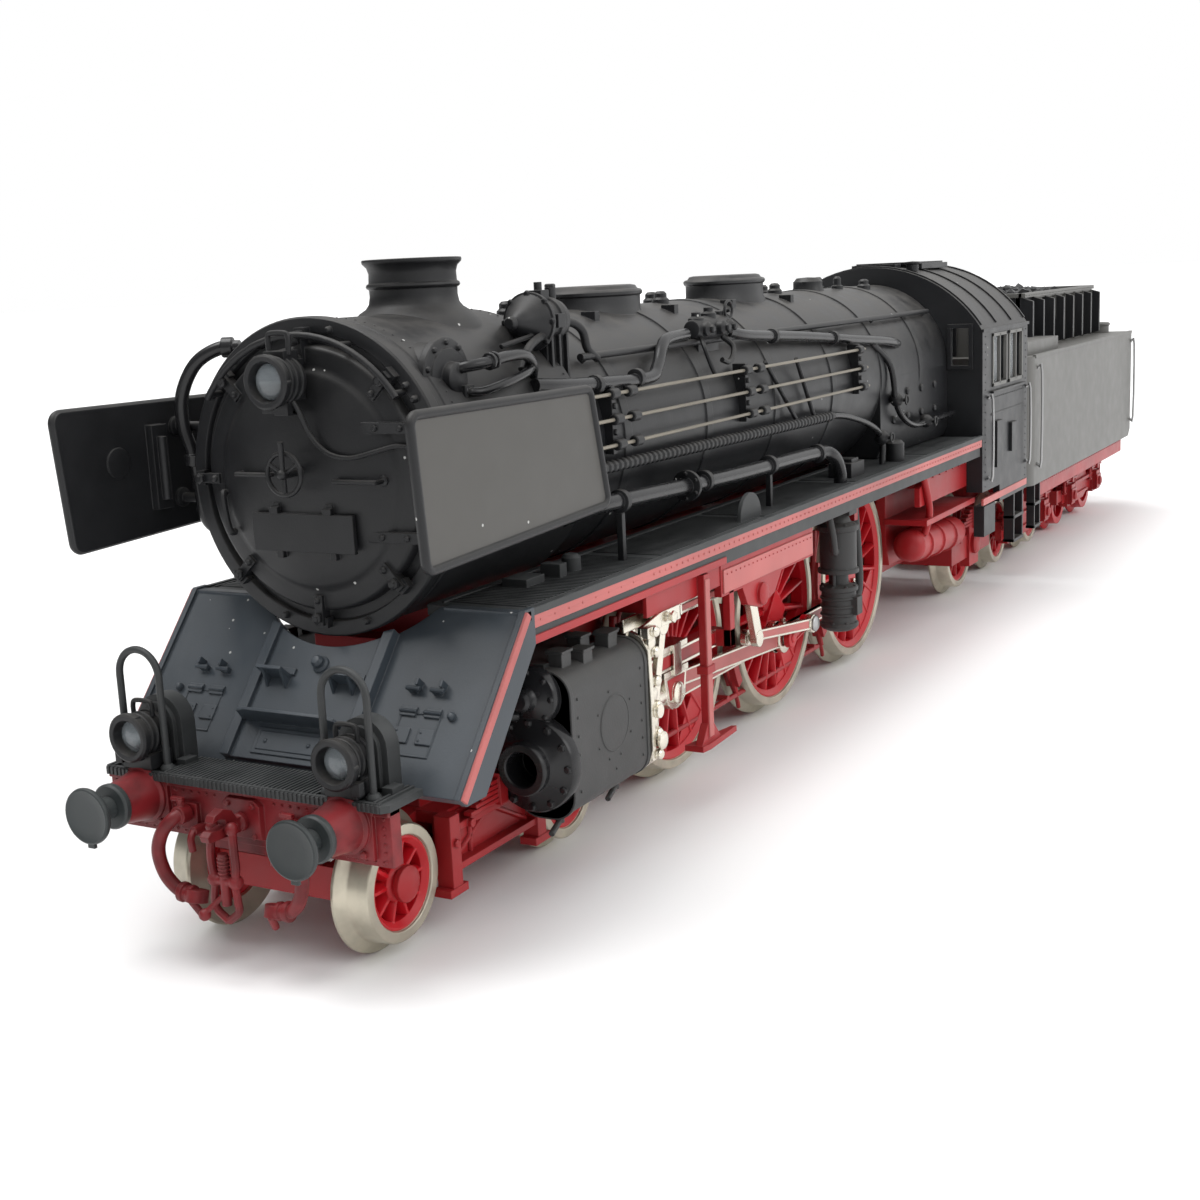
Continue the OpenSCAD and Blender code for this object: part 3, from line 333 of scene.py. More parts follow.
def finish(name, base, rough=0.45, metal=0.0, vary=0.25, grain=0.3, wear=0.0, wear_color=(0.3, 0.3, 0.3),
           dust=0.0, dust_color=(0.16, 0.15, 0.135), specks=0.0, coat=0.0, grime=0.0, edge=0.12):
    """Painted or plated surface: uneven tone, fine grain, rubbed edges, dust and specks."""
    mat = bpy.data.materials.new(name)
    mat.use_nodes = True
    nt = mat.node_tree
    nodes, links = nt.nodes, nt.links
    bsdf = nodes["Principled BSDF"]

    def node(kind, **values):
        n = nodes.new(kind)
        for key, value in values.items():
            if hasattr(n, key):
                setattr(n, key, value)
            else:
                n.inputs[key.replace("_", " ")].default_value = value
        return n

    def math_node(op, a, b=None, clamp=False):
        n = nodes.new("ShaderNodeMath")
        n.operation = op
        n.use_clamp = clamp
        for i, value in enumerate((a, b)):
            if value is None:
                continue
            if isinstance(value, (int, float)):
                n.inputs[i].default_value = value
            else:
                links.new(value, n.inputs[i])
        return n.outputs[0]

    def mix(factor, a, b):
        n = nodes.new("ShaderNodeMix")
        n.data_type = "RGBA"
        for slot_in, value in ((n.inputs[0], factor), (n.inputs[6], a), (n.inputs[7], b)):
            if isinstance(value, (int, float)):
                slot_in.default_value = value
            elif isinstance(value, tuple):
                slot_in.default_value = (*value, 1)
            else:
                links.new(value, slot_in)
        return n.outputs[2]

    def ramp(value, lo, hi):
        n = nodes.new("ShaderNodeMapRange")
        n.inputs["From Min"].default_value = lo
        n.inputs["From Max"].default_value = hi
        links.new(value, n.inputs["Value"])
        return n.outputs["Result"]

    coord = nodes.new("ShaderNodeTexCoord").outputs["Object"]

    def cloud(scale, detail=3.0):
        n = node("ShaderNodeTexNoise", Scale=scale, Detail=detail)
        links.new(coord, n.inputs["Vector"])
        return n.outputs["Fac"]

    broad, mid, fine = cloud(70), cloud(420), cloud(5200, 2.0)
    dark = tuple(c * (1 - vary) for c in base)
    light = tuple(min(1, c * (1 + vary) + 0.004 * vary) for c in base)
    color = mix(ramp(broad, 0.3, 0.7), dark, light)
    color = mix(math_node("MULTIPLY", ramp(mid, 0.45, 0.75), 0.35), color, light)
    rough_out = math_node("ADD", rough - 0.09, math_node("MULTIPLY", mid, 0.18))
    geo = nodes.new("ShaderNodeNewGeometry")
    if grime:
        color = mix(math_node("MULTIPLY", ramp(mid, 0.42, 0.62), grime), color,
                    tuple(c * 0.22 for c in base))
    if dust:
        sep = nodes.new("ShaderNodeSeparateXYZ")
        links.new(geo.outputs["Normal"], sep.inputs[0])
        up = ramp(sep.outputs["Z"], 0.1, 1.0)
        amount = math_node("MULTIPLY", math_node("MULTIPLY", up, ramp(mid, 0.2, 0.8)), dust)
        color = mix(amount, color, dust_color)
        rough_out = math_node("ADD", rough_out, math_node("MULTIPLY", amount, 0.25), True)
    if specks:
        vor = node("ShaderNodeTexVoronoi", Scale=620.0)
        links.new(coord, vor.inputs["Vector"])
        near = math_node("LESS_THAN", vor.outputs["Distance"], 0.075)
        sepc = nodes.new("ShaderNodeSeparateColor")
        links.new(vor.outputs["Color"], sepc.inputs[0])
        chosen = math_node("GREATER_THAN", sepc.outputs[0], 1 - specks)
        color = mix(math_node("MULTIPLY", math_node("MULTIPLY", near, chosen), 0.75), color,
                    (0.6, 0.6, 0.58))
    bev = node("ShaderNodeBevel", samples=3)
    bev.inputs["Radius"].default_value = edge * MM
    if wear:
        dot = nodes.new("ShaderNodeVectorMath")
        dot.operation = "DOT_PRODUCT"
        links.new(bev.outputs[0], dot.inputs[0])
        links.new(geo.outputs["True Normal"], dot.inputs[1])
        rub = ramp(math_node("SUBTRACT", 1.0, dot.outputs["Value"]), 0.02, 0.25)
        rub = math_node("MULTIPLY", math_node("MULTIPLY", rub, ramp(mid, 0.35, 0.6)), wear)
        color = mix(rub, color, wear_color)
    bump = nodes.new("ShaderNodeBump")
    bump.inputs["Strength"].default_value = grain
    bump.inputs["Distance"].default_value = 0.02 * MM
    height = math_node("ADD", fine, math_node("MULTIPLY", mid, 0.6))
    links.new(height, bump.inputs["Height"])
    links.new(bev.outputs[0], bump.inputs["Normal"])
    links.new(bump.outputs[0], bsdf.inputs["Normal"])
    links.new(color, bsdf.inputs["Base Color"])
    links.new(rough_out, bsdf.inputs["Roughness"])
    bsdf.inputs["Metallic"].default_value = metal
    bsdf.inputs["Specular IOR Level"].default_value = 0.36
    bsdf.inputs["Coat Weight"].default_value = coat
    bsdf.inputs["Coat Roughness"].default_value = 0.2
    return mat


def glass(name, tint, rough):
    """Clear moulded plastic with faint scratches."""
    mat = finish(name, tint, rough, vary=0.08, grain=0.1)
    bsdf = mat.node_tree.nodes["Principled BSDF"]
    bsdf.inputs["Transmission Weight"].default_value = 0.75
    bsdf.inputs["IOR"].default_value = 1.45
    return mat


BLACK = finish("black_satin", (0.012, 0.0125, 0.014), 0.40, dust=0.5, specks=0.07, wear=0.35,
               wear_color=(0.09, 0.09, 0.09), grain=0.35)
SMOKE = finish("black_smokebox", (0.009, 0.0093, 0.0105), 0.45, dust=0.35, specks=0.16, wear=0.3,
               wear_color=(0.07, 0.07, 0.07), grain=0.45)
GLOSS = finish("black_gloss", (0.010, 0.010, 0.011), 0.24, specks=0.04, grain=0.12, wear=0.2,
               wear_color=(0.08, 0.08, 0.08))
# Black paint of the deflectors' outer faces, lightened to grey: painted sheen from the bright side light
DEFLECTOR_SHEEN_GREY = finish("deflector_painted_sheen", (0.072, 0.069, 0.064), 0.5, vary=0.06, specks=0.1, grain=0.2)
# Black paint of the tender's sides, lightened to grey: painted sheen from the bright side light; the cab's
# window frames reuse it
TENDER_SHEEN_GREY = finish("tender_painted_sheen", (0.125, 0.123, 0.116), 0.45, vary=0.08, dust=0.3, grain=0.25, wear=0.25,
                     wear_color=(0.2, 0.2, 0.19))
# Glossy dark paint of the front apron, lightened to grey-blue: painted sheen
APRON_SHEEN = finish("apron_painted_sheen", (0.038, 0.047, 0.057), 0.36, vary=0.3, specks=0.5, dust=0.12, grain=0.25,
               wear=0.5, wear_color=(0.12, 0.13, 0.14))
# Black paint of the cylinders and pumps, lightened to grey: painted sheen from the bright side light
CYL_SHEEN_GREY = finish("cylinder_painted_sheen", (0.036, 0.036, 0.036), 0.5, vary=0.15, dust=0.35, grain=0.6, wear=0.3,
                  wear_color=(0.12, 0.12, 0.12), specks=0.05)
DECK = finish("deck_grey", (0.030, 0.032, 0.033), 0.5, dust=0.5, dust_color=(0.11, 0.115, 0.115), grain=0.4,
              wear=0.4, wear_color=(0.13, 0.13, 0.13), specks=0.05)
RED = finish("frame_red", (0.30, 0.009, 0.012), 0.4, vary=0.22, dust=0.25, dust_color=(0.3, 0.07, 0.07),
             grain=0.25, wear=0.2, wear_color=(0.5, 0.16, 0.15))
WHEEL_RED = finish("wheel_red", (0.43, 0.006, 0.012), 0.34, vary=0.18, grain=0.15, wear=0.2,
                   wear_color=(0.6, 0.12, 0.12))
BEAM_RED = finish("beam_red", (0.17, 0.009, 0.012), 0.45, vary=0.35, grime=0.6, dust=0.1,
                  dust_color=(0.25, 0.1, 0.1), grain=0.4, wear=0.5, wear_color=(0.4, 0.12, 0.11))
# The red paint made paler and greyer: painted highlight of the lit side, on red strips, flutes and faces
RED_HIGHLIGHT = finish("red_painted_highlight", (0.42, 0.105, 0.098), 0.42, vary=0.2, grain=0.2, wear=0.35,
              wear_color=(0.55, 0.25, 0.22))
NICKEL = finish("nickel", (0.70, 0.66, 0.57), 0.24, metal=1.0, vary=0.12, grain=0.1, wear=0.3,
                wear_color=(0.85, 0.82, 0.74))
TYRE = finish("tyre_nickel", (0.50, 0.46, 0.37), 0.33, metal=0.75, vary=0.2, grain=0.15, grime=0.25)
STEEL = finish("steel", (0.36, 0.36, 0.36), 0.35, metal=0.9, vary=0.15, grain=0.2)
BUFFER = finish("buffer_grey", (0.028, 0.033, 0.034), 0.4, vary=0.3, dust=0.15, grain=0.3, wear=0.6,
                wear_color=(0.13, 0.14, 0.14), specks=0.05)
COAL = finish("coal", (0.010, 0.010, 0.011), 0.33, vary=0.5, grain=1.0, specks=0.0)
LENS = glass("lamp_glass", (0.38, 0.41, 0.43), 0.12)
CLEAR = glass("window_clear", (0.85, 0.88, 0.9), 0.15)
SILVER = finish("lamp_reflector", (0.55, 0.56, 0.57), 0.2, metal=1.0, vary=0.1, grain=0.1)
PINION = finish("gear_ivory", (0.62, 0.58, 0.48), 0.45, vary=0.1, grain=0.2)
COPPER = finish("winding_copper", (0.55, 0.22, 0.09), 0.3, metal=0.9, vary=0.2, grain=0.6)
ROD_PALE = finish("rod_pale", (0.20, 0.18, 0.145), 0.4, metal=0.4, vary=0.2, grain=0.2)

# ---------------------------------------------------------------- boiler

def barrel(shape, x0, x1, r, seams):
    """Cladding drum with raised bands, from station x0 back to x1."""
    profile = [(0, x0), (r, x0)]
    for x in seams:
        profile += [(r, x + 0.75), (r + 0.16, x + 0.7), (r + 0.16, x - 0.7), (r, x - 0.75)]
    profile += [(r, x1), (0, x1)]
    shape.lathe(profile, (0, 0, BOILER_Z), X, 96)


def dome(shape, x, length, width, top):
    """Low flat dome with a lip round its lid."""
    a = length / 2
    shape.lathe([(a * 1.10, 44.5), (a * 1.06, top - 3.1), (a, top - 2.5), (a, top - 1.15),
                 (a * 1.045, top - 1.0), (a * 1.055, top - 0.7), (a * 1.02, top - 0.5),
                 (a * 0.95, top - 0.42), (a * 0.9, top - 0.1), (a * 0.8, top), (0, top)], (x, 0, 0), Z, 48,
                 width / length)


def build_boiler():
    s = Shape()
    # Smokebox with its doubled front edge and the riveted joint at the rear
    s.use(1).lathe([(0, -19.82), (SMOKE_R, -19.82), (SMOKE_R, -20.5), (SMOKE_R - 0.12, -20.6),
                    (SMOKE_R - 0.12, -21.1), (SMOKE_R, -21.2), (SMOKE_R, -41.2), (SMOKE_R - 0.25, -41.7),
                    (BOILER_R, -42.0), (0, -42.0)], (0, 0, BOILER_Z), X, 112)
    s.use(0)
    barrel(s, -41.9, BOILER_END, BOILER_R, (-50, -68, -86, -104, -122, -138))
    # Firebox sides under the barrel, and their washout plugs
    s.cross([(-11.9, 36), (-11.9, 27), (-11.3, 25.6), (11.3, 25.6), (11.9, 27), (11.9, 36)], BOILER_END,
            -121)
    for x in (-126, -132, -138, -144):
        for z in (30.2, 33.6):
            m = s.mark()
            s.lathe([(0.55, 0), (0.55, 0.25), (0.35, 0.4), (0, 0.4)], (x, 11.88, z), Y, 12)
            s.mirror(m)
    # Chimney: saddle, waisted stack with a band, and a flared lip
    s.use(1).lathe([(6.4, 10.8), (5.6, 12.0), (4.8, 12.75), (4.25, 13.1), (3.95, 13.5), (3.82, 14.2),
                    (3.84, 14.75), (4.02, 14.85), (4.1, 15.0), (4.02, 15.2), (3.84, 15.3), (3.8, 16.1),
                    (3.95, 16.6), (4.2, 16.85), (4.3, 16.95), (4.34, 17.12), (4.3, 17.28), (4.05, 17.3),
                    (3.7, 17.22), (3.5, 16.8), (3.35, 15.5), (3.3, 13.6), (0, 13.6)], (-33.8, 0, BOILER_Z),
                    Z, 64)
    s.use(0)
    dome(s, -66, 13, 8.5, 50.1)
    dome(s, -98.8, 13, 8.5, 50.5)
    s.lathe([(2.6, 46.5), (2.2, 47.8), (2.0, 48.2), (2.0, 49.0), (1.5, 49.5), (0, 49.6)], (-126, 0, 0), Z,
            28)
    # Filler caps, valves and steps along the top of the boiler
    for x, y in ((-47.5, 0.8), (-54, -1.5), (-79, 1.2), (-83, -2), (-112, 1.0), (-116, -2.4), (-141, 2.6)):
        z = BOILER_Z + math.sqrt(BOILER_R ** 2 - y ** 2)
        s.lathe([(0.95, -0.5), (0.95, 0.35), (0.7, 0.6), (0.7, 1.0), (0.45, 1.25), (0, 1.3)], (x, y, z), Z,
                18)
    for x in (-57.2, -74.8, -90, -107.6):
        m = s.mark()
        s.box((x - 0.5, 3.6, 46.4), (x + 0.5, 5.2, 47.7))
        s.mirror(m)
    # Safety valves in front of the cab
    for y in (-1.4, 1.4):
        s.lathe([(0.8, 46.6), (0.8, 48.2), (0.55, 48.3), (0.55, 49.2), (0.3, 49.5), (0, 49.5)],
                (-133.5, y, 0), Z, 16)
    # Rivets on the smokebox joints
    for x in (-22.2, -40.6):
        for k in range(56):
            a = math.radians(-118 + 236 * k / 55)
            n = Vector((0, math.sin(a), math.cos(a)))
            s.lathe([(0.12, -0.02), (0.1, 0.06), (0, 0.09)], Vector((x, 0, BOILER_Z)) + n * SMOKE_R, n, 6)
    return piece("boiler", s, [BLACK, SMOKE], "locomotive", ["boiler_shell"], 0.05)


def build_smokebox_front():
    s = Shape()
    cx = Vector((0, 0, BOILER_Z))
    s.lathe([(0, -19.77), (13.0, -19.77), (13.0, -18.78), (12.86, -18.62), (12.7, -18.6), (11.78, -18.6),
             (11.68, -18.72), (11.62, -19.1), (10.8, -19.1), (10.72, -18.2), (10.6, -18.02), (10.4, -17.94),
             (9.3, -17.86), (8.95, -17.8), (8.75, -17.62), (8.4, -17.5), (7, -17.18), (5.5, -16.92),
             (3.8, -16.74), (2, -16.66), (0, -16.62)], cx, X, 112)
    # Dogs: a clamp with its bolt and nut, all round the door
    for k in range(8):
        a = math.radians(45 * k)
        out = Vector((0, math.sin(a), math.cos(a)))
        tan = Vector((0, math.cos(a), -math.sin(a)))
        if k == 2:
            continue
        o = cx + out * 10.9
        for lo, hi, w, x0, x1 in ((-1.5, 1.0, 0.42, -18.55, -17.55), (0.4, 1.25, 0.62, -18.62, -17.9)):
            pts = [o + tan * (w * sx) + out * (lo if sz < 0 else hi)
                   for sx, sz in ((-1, -1), (1, -1), (0.85, 1), (-0.85, 1))]
            n = len(pts)
            verts = [Vector((x, p.y, p.z)) for x in (x0, x1) for p in pts]
            s.add(verts, [tuple(range(n)), tuple(range(n, 2 * n))]
                  + [(i, (i + 1) % n, n + (i + 1) % n, n + i) for i in range(n)])
        b = o + out * 0.35
        s.rod((-17.6, b.y, b.z), (-16.95, b.y, b.z), 0.26, 10)
        s.bolt((-17.35, b.y, b.z), X, 0.48, 0.32)
        e = o - out * 1.1
        s.ball((-17.5, e.y, e.z), 0.3, 10)
    # Hinge straps on the left, with their post
    for z in (BOILER_Z - 4.3, BOILER_Z + 4.3):
        s.box((-18.3, 5.9, z - 0.42), (-17.3, 11.9, z + 0.42))
        s.rod((-17.75, 11.9, z - 0.95), (-17.75, 11.9, z + 0.95), 0.5, 14)
        s.bolt((-17.3, 7.2, z), X, 0.26, 0.2)
        s.bolt((-17.3, 9.6, z), X, 0.26, 0.2)
        s.box((-18.6, 11.2, z - 0.7), (-17.9, 12.6, z + 0.7))
    s.rod((-17.75, 11.9, BOILER_Z - 5.6), (-17.75, 11.9, BOILER_Z + 5.6), 0.24, 10)
    # Hand wheel with three spokes and its locking lever
    c = Vector((-14.7, 0, BOILER_Z + 0.9))
    s.rod((-17, 0, c.z), (-14.3, 0, c.z), 0.36, 14)
    s.ring(c, X, 1.68, 0.2, 30, 8)
    for k in range(3):
        a = math.radians(120 * k + 60)
        s.rod(c, c + Vector((0, 1.62 * math.sin(a), 1.62 * math.cos(a))), 0.17, 8)
    s.ball(c + X * 0.25, 0.42, 12)
    s.rod(c + X * 0.15, c + Vector((0.45, 0.25, 2.6)), 0.2, 10, 0.26)
    # Short grab rails on the door
    for y0, y1, z in ((-6.3, -2.9, 36.6), (3.7, 7.7, 36.2)):
        s.tube([(-17.3, y0, z), (-16.3, y0, z), (-16.2, y0 + 0.25, z), (-16.2, y1 - 0.25, z),
                (-16.3, y1, z), (-17.3, y1, z)], 0.2, 8, 3)
        for y in (y0, y1):
            s.lathe([(0.42, 0), (0.42, 0.2), (0.25, 0.3), (0, 0.3)], (-17.4, y, z), X, 10)
    # Blank plate on four brackets
    s.box((-16.75, -5.1, 30.4), (-16.35, 5.1, 33.5))
    for y in (-2.7, 2.7):
        s.box((-17.6, y - 0.32, 33.2), (-16.5, y + 0.32, 34.3))
        s.box((-16.6, y - 0.42, 33.5), (-16.15, y + 0.42, 34.0))
        s.box((-17.6, y - 0.3, 29.8), (-16.6, y + 0.3, 30.6))
    # Step bracket and vertical grip on the right
    s.tube([(-17.6, -8.1, 31.6), (-17.05, -8.3, 31.9), (-17.05, -8.7, 34.6), (-17.6, -8.8, 34.9)], 0.3, 8,
           4)
    # Small studs and pads round the ring
    for a in (12, 52, 58, -56, -38, 68, 112, 160, 200):
        t = math.radians(a)
        s.lathe([(0.3, 0), (0.3, 0.3), (0.18, 0.5), (0, 0.52)],
                (-18.62, 12.15 * math.sin(t), BOILER_Z + 12.15 * math.cos(t)), X, 10)
    # Cable from the lamp to the left edge
    s.tube([(-15.4, 0.9, 42.6), (-15.7, 1.35, 41.4), (-16.2, 1.9, 39.6), (-16.4, 3.2, 38.4),
            (-16.5, 5.2, 38.05), (-16.9, 7.3, 38.5), (-17.4, 8.9, 38.9), (-17.7, 10.4, 38.8)], 0.2, 8, 8)
    s.box((-18.3, 10.2, 38.2), (-17.3, 11.1, 39.3))
    s.rod((-17.7, 11.0, 38.75), (-18.1, 12.9, 38.6), 0.28, 10)
    piece("smokebox_door", s, [SMOKE], "locomotive", ["smokebox_front"], 0.05)

    # Steam pipe that loops round the right edge of the smokebox
    p = Shape()
    p.tube([(-21.8, -9.6, 46.6), (-21.0, -11.4, 46.5), (-20.3, -13.4, 45.3), (-20.0, -14.9, 42.8),
            (-20.0, -15.1, 40.2), (-20.2, -14.5, 37.6), (-20.4, -14.2, 34.6), (-20.5, -14.1, 32.6),
            (-20.9, -13.4, 31.3), (-22.2, -12.0, 30.9)], 0.58, 12, 8)
    for c, d in (((-21.4, -10.6, 46.6), (0.5, -1, 0)), ((-21.4, -12.8, 31.1), (-0.8, 0.8, -0.2)),
                 ((-20.2, -14.4, 37.2), (0, 0.1, 1))):
        p.lathe([(0.6, -0.5), (0.86, -0.45), (0.86, 0.45), (0.6, 0.5)], c, d, 12)
    piece("smokebox_pipe", p, [GLOSS], "locomotive", (), 0)


def build_heater():
    s = Shape()
    m = s.mark()
    c = (-24, 0, 43.6)
    s.use(0).lathe([(0, 5.0), (2.9, 5.0), (2.9, 8.95), (3.1, 9.0), (3.3, 9.05), (3.3, 9.65), (3.15, 9.75),
                    (2.5, 9.78), (2.4, 9.95), (1.35, 10.1), (1.3, 10.75), (1.1, 10.9), (0, 10.9)], c, Y, 40)
    s.bolts((-24, 9.7, 43.6), Y, 2.9, 10, 0.26, 0.3)
    s.box((-25.6, 9.8, 42.1), (-24.2, 11.2, 43.0))
    s.bolt((-24.9, 11.2, 42.5), Y, 0.36, 0.3)
    s.mirror(m)
    # Glossy feed pipes from the end covers
    m = s.mark()
    s.use(1).tube([(-24.2, 10.2, 44.3), (-24.6, 11.3, 44.5), (-26.2, 12.1, 44.7), (-29.4, 12.2, 45.0),
                   (-32.2, 12.0, 44.9), (-34.4, 11.4, 44.0), (-35.8, 10.4, 42.6)], 0.46, 10, 7)
    s.tube([(-24.4, 10.6, 42.6), (-25.6, 11.7, 42.4), (-28.4, 12.2, 42.8), (-32.4, 11.9, 43.4),
            (-35.4, 10.8, 43.9)], 0.38, 10, 6)
    for x, y, z in ((-26.6, 12.1, 44.75), (-27.2, 12.1, 44.8)):
        s.lathe([(0.5, -0.2), (0.72, -0.15), (0.72, 0.15), (0.5, 0.2)], (x, y, z), X, 12)
    s.mirror(m)
    piece("heater_drum", s, [SMOKE, GLOSS], "locomotive", ["feedwater_heater"], 0.05)


def build_generator():
    s = Shape()
    o = (-38.6, 8.6, 47.4)
    # Conical inlet with its knob, lugged flange, clamp band and domed rear
    s.lathe([(0, 3.3), (0.45, 3.25), (0.62, 3.0), (0.62, 2.7), (0.42, 2.55), (0.7, 2.3), (1.2, 1.5),
             (1.9, 0.6), (2.25, 0.25), (2.4, 0.05), (2.6, 0.0), (2.6, -0.4), (2.2, -0.5), (2.1, -0.7),
             (1.9, -0.8), (1.9, -2.4), (2.1, -2.5), (2.1, -3.3), (1.9, -3.4), (1.85, -4.2), (1.5, -4.8),
             (0.8, -5.2), (0, -5.3)], o, X, 36)
    s.bolts((-38.75, 8.6, 47.4), X, 2.45, 8, 0.3, 0.35)
    s.box((-41.2, 7.9, 49.2), (-39.8, 9.3, 50.1))
    s.rod((-40.5, 8.6, 50.0), (-40.5, 8.6, 50.8), 0.36, 12)
    s.rod((-42.6, 8.6, 48.8), (-42.6, 8.6, 50.3), 0.5, 14)
    s.bolt((-42.6, 8.6, 50.3), Z, 0.5, 0.3)
    s.box((-40.6, 10.2, 46.8), (-39.4, 11.2, 48.0))
    # Box bracket with ribs and rivets
    s.box((-42.6, 7.3, 42.2), (-39.4, 9.9, 46.0))
    for x in (-42.3, -41.0, -39.7):
        s.box((x - 0.18, 9.8, 42.2), (x + 0.18, 10.35, 46.2))
    for z in (43.0, 44.2, 45.4):
        for x in (-41.65, -40.35):
            s.lathe([(0.17, 0), (0.12, 0.1), (0, 0.13)], (x, 9.9, z), Y, 7)
    s.tube([(-43.8, 8.8, 47.2), (-45, 9.4, 47.0), (-46, 9.8, 46.2), (-46.6, 9.9, 44.6), (-48, 10.1, 43.6)],
           0.4, 10, 6)
    # Crossed stays behind the heater
    s.rod((-33.0, 9.2, 45.6), (-38.5, 9.6, 46.4), 0.22, 8)
    s.tube([(-33.4, 10.9, 43.6), (-35, 10.6, 45.2), (-37.2, 10.3, 46.0), (-38.8, 10.0, 46.2)], 0.36, 8, 5)
    piece("generator", s, [SMOKE], "locomotive", ["turbo_generator"], 0.04)


def build_deflectors():
    s = Shape()
    corners = [(-8.6, 41.4), (-9.4, 31.8), (-34.6, 32.8), (-32.6, 41.2)]
    r = 1.2
    m = s.mark()
    s.use(1).side(hull_outline(corners, r - 0.25), 17.02, 17.3)
    # Outer face in the grey that is painted sheen; the inner plate and the rim stay black
    s.use(0).side(hull_outline(corners, r - 0.3), 17.28, 17.5)
    rim = [Vector((x, 17.42, z)) for x, z in hull_outline(corners, r - 0.42)]
    s.use(1).tube(rim, 0.38, 10, 1, True)
    # Stays to the smokebox, and the box with its cylinder on the inside
    for x in (-21, -32):
        for z in (33.8, 40):
            y = math.sqrt(max(0.0, 13.0 ** 2 - (z - BOILER_Z) ** 2))
            s.rod((x, y - 0.5, z), (x, 17.1, z), 0.42, 12)
            s.lathe([(0.85, 0), (0.85, 0.3), (0.5, 0.45), (0, 0.45)], (x, 17.05, z), -Y, 14)
    s.box((-19.2, 16.3, 33.2), (-17.4, 17.1, 40.4))
    s.rod((-18.3, 16.1, 34.0), (-18.3, 16.1, 39.4), 0.42, 12)
    s.lathe([(1.3, 0), (1.3, 0.12), (1.1, 0.16), (0, 0.16)], (-14, 17.03, 37.6), -Y, 28)
    s.mirror(m)
    piece("deflector_plates", s, [DEFLECTOR_SHEEN_GREY, SMOKE], "locomotive", ["smoke_deflectors"], 0.04)

# ------------------------------------------------------------- front end

SLOPE_FOOT = Vector((-11.2, 0, 13.2))
SLOPE_TOP = Vector((-21.7, 0, 25.4))
SLOPE_UP = (SLOPE_TOP - SLOPE_FOOT).normalized()
SLOPE_OUT = Vector((SLOPE_UP.z, 0, -SLOPE_UP.x))
SLOPE_LEN = (SLOPE_TOP - SLOPE_FOOT).length


def slope(y, s, out=0.0):
    """Point on the apron: y across, s up the slope, out above its face."""
    return SLOPE_FOOT + Y * y + SLOPE_UP * s + SLOPE_OUT * out


def on_slope(shape, outline, t0, t1, taper=1.0):
    """Outline in (y, s) on the apron's face, thick from t0 to t1."""
    return shape.slab(outline, SLOPE_FOOT, Y, SLOPE_UP, t0, t1, taper)


def slope_box(shape, y0, y1, s0, s1, t0, t1, taper=1.0):
    return on_slope(shape, [(y0, s0), (y1, s0), (y1, s1), (y0, s1)], t0, t1, taper)


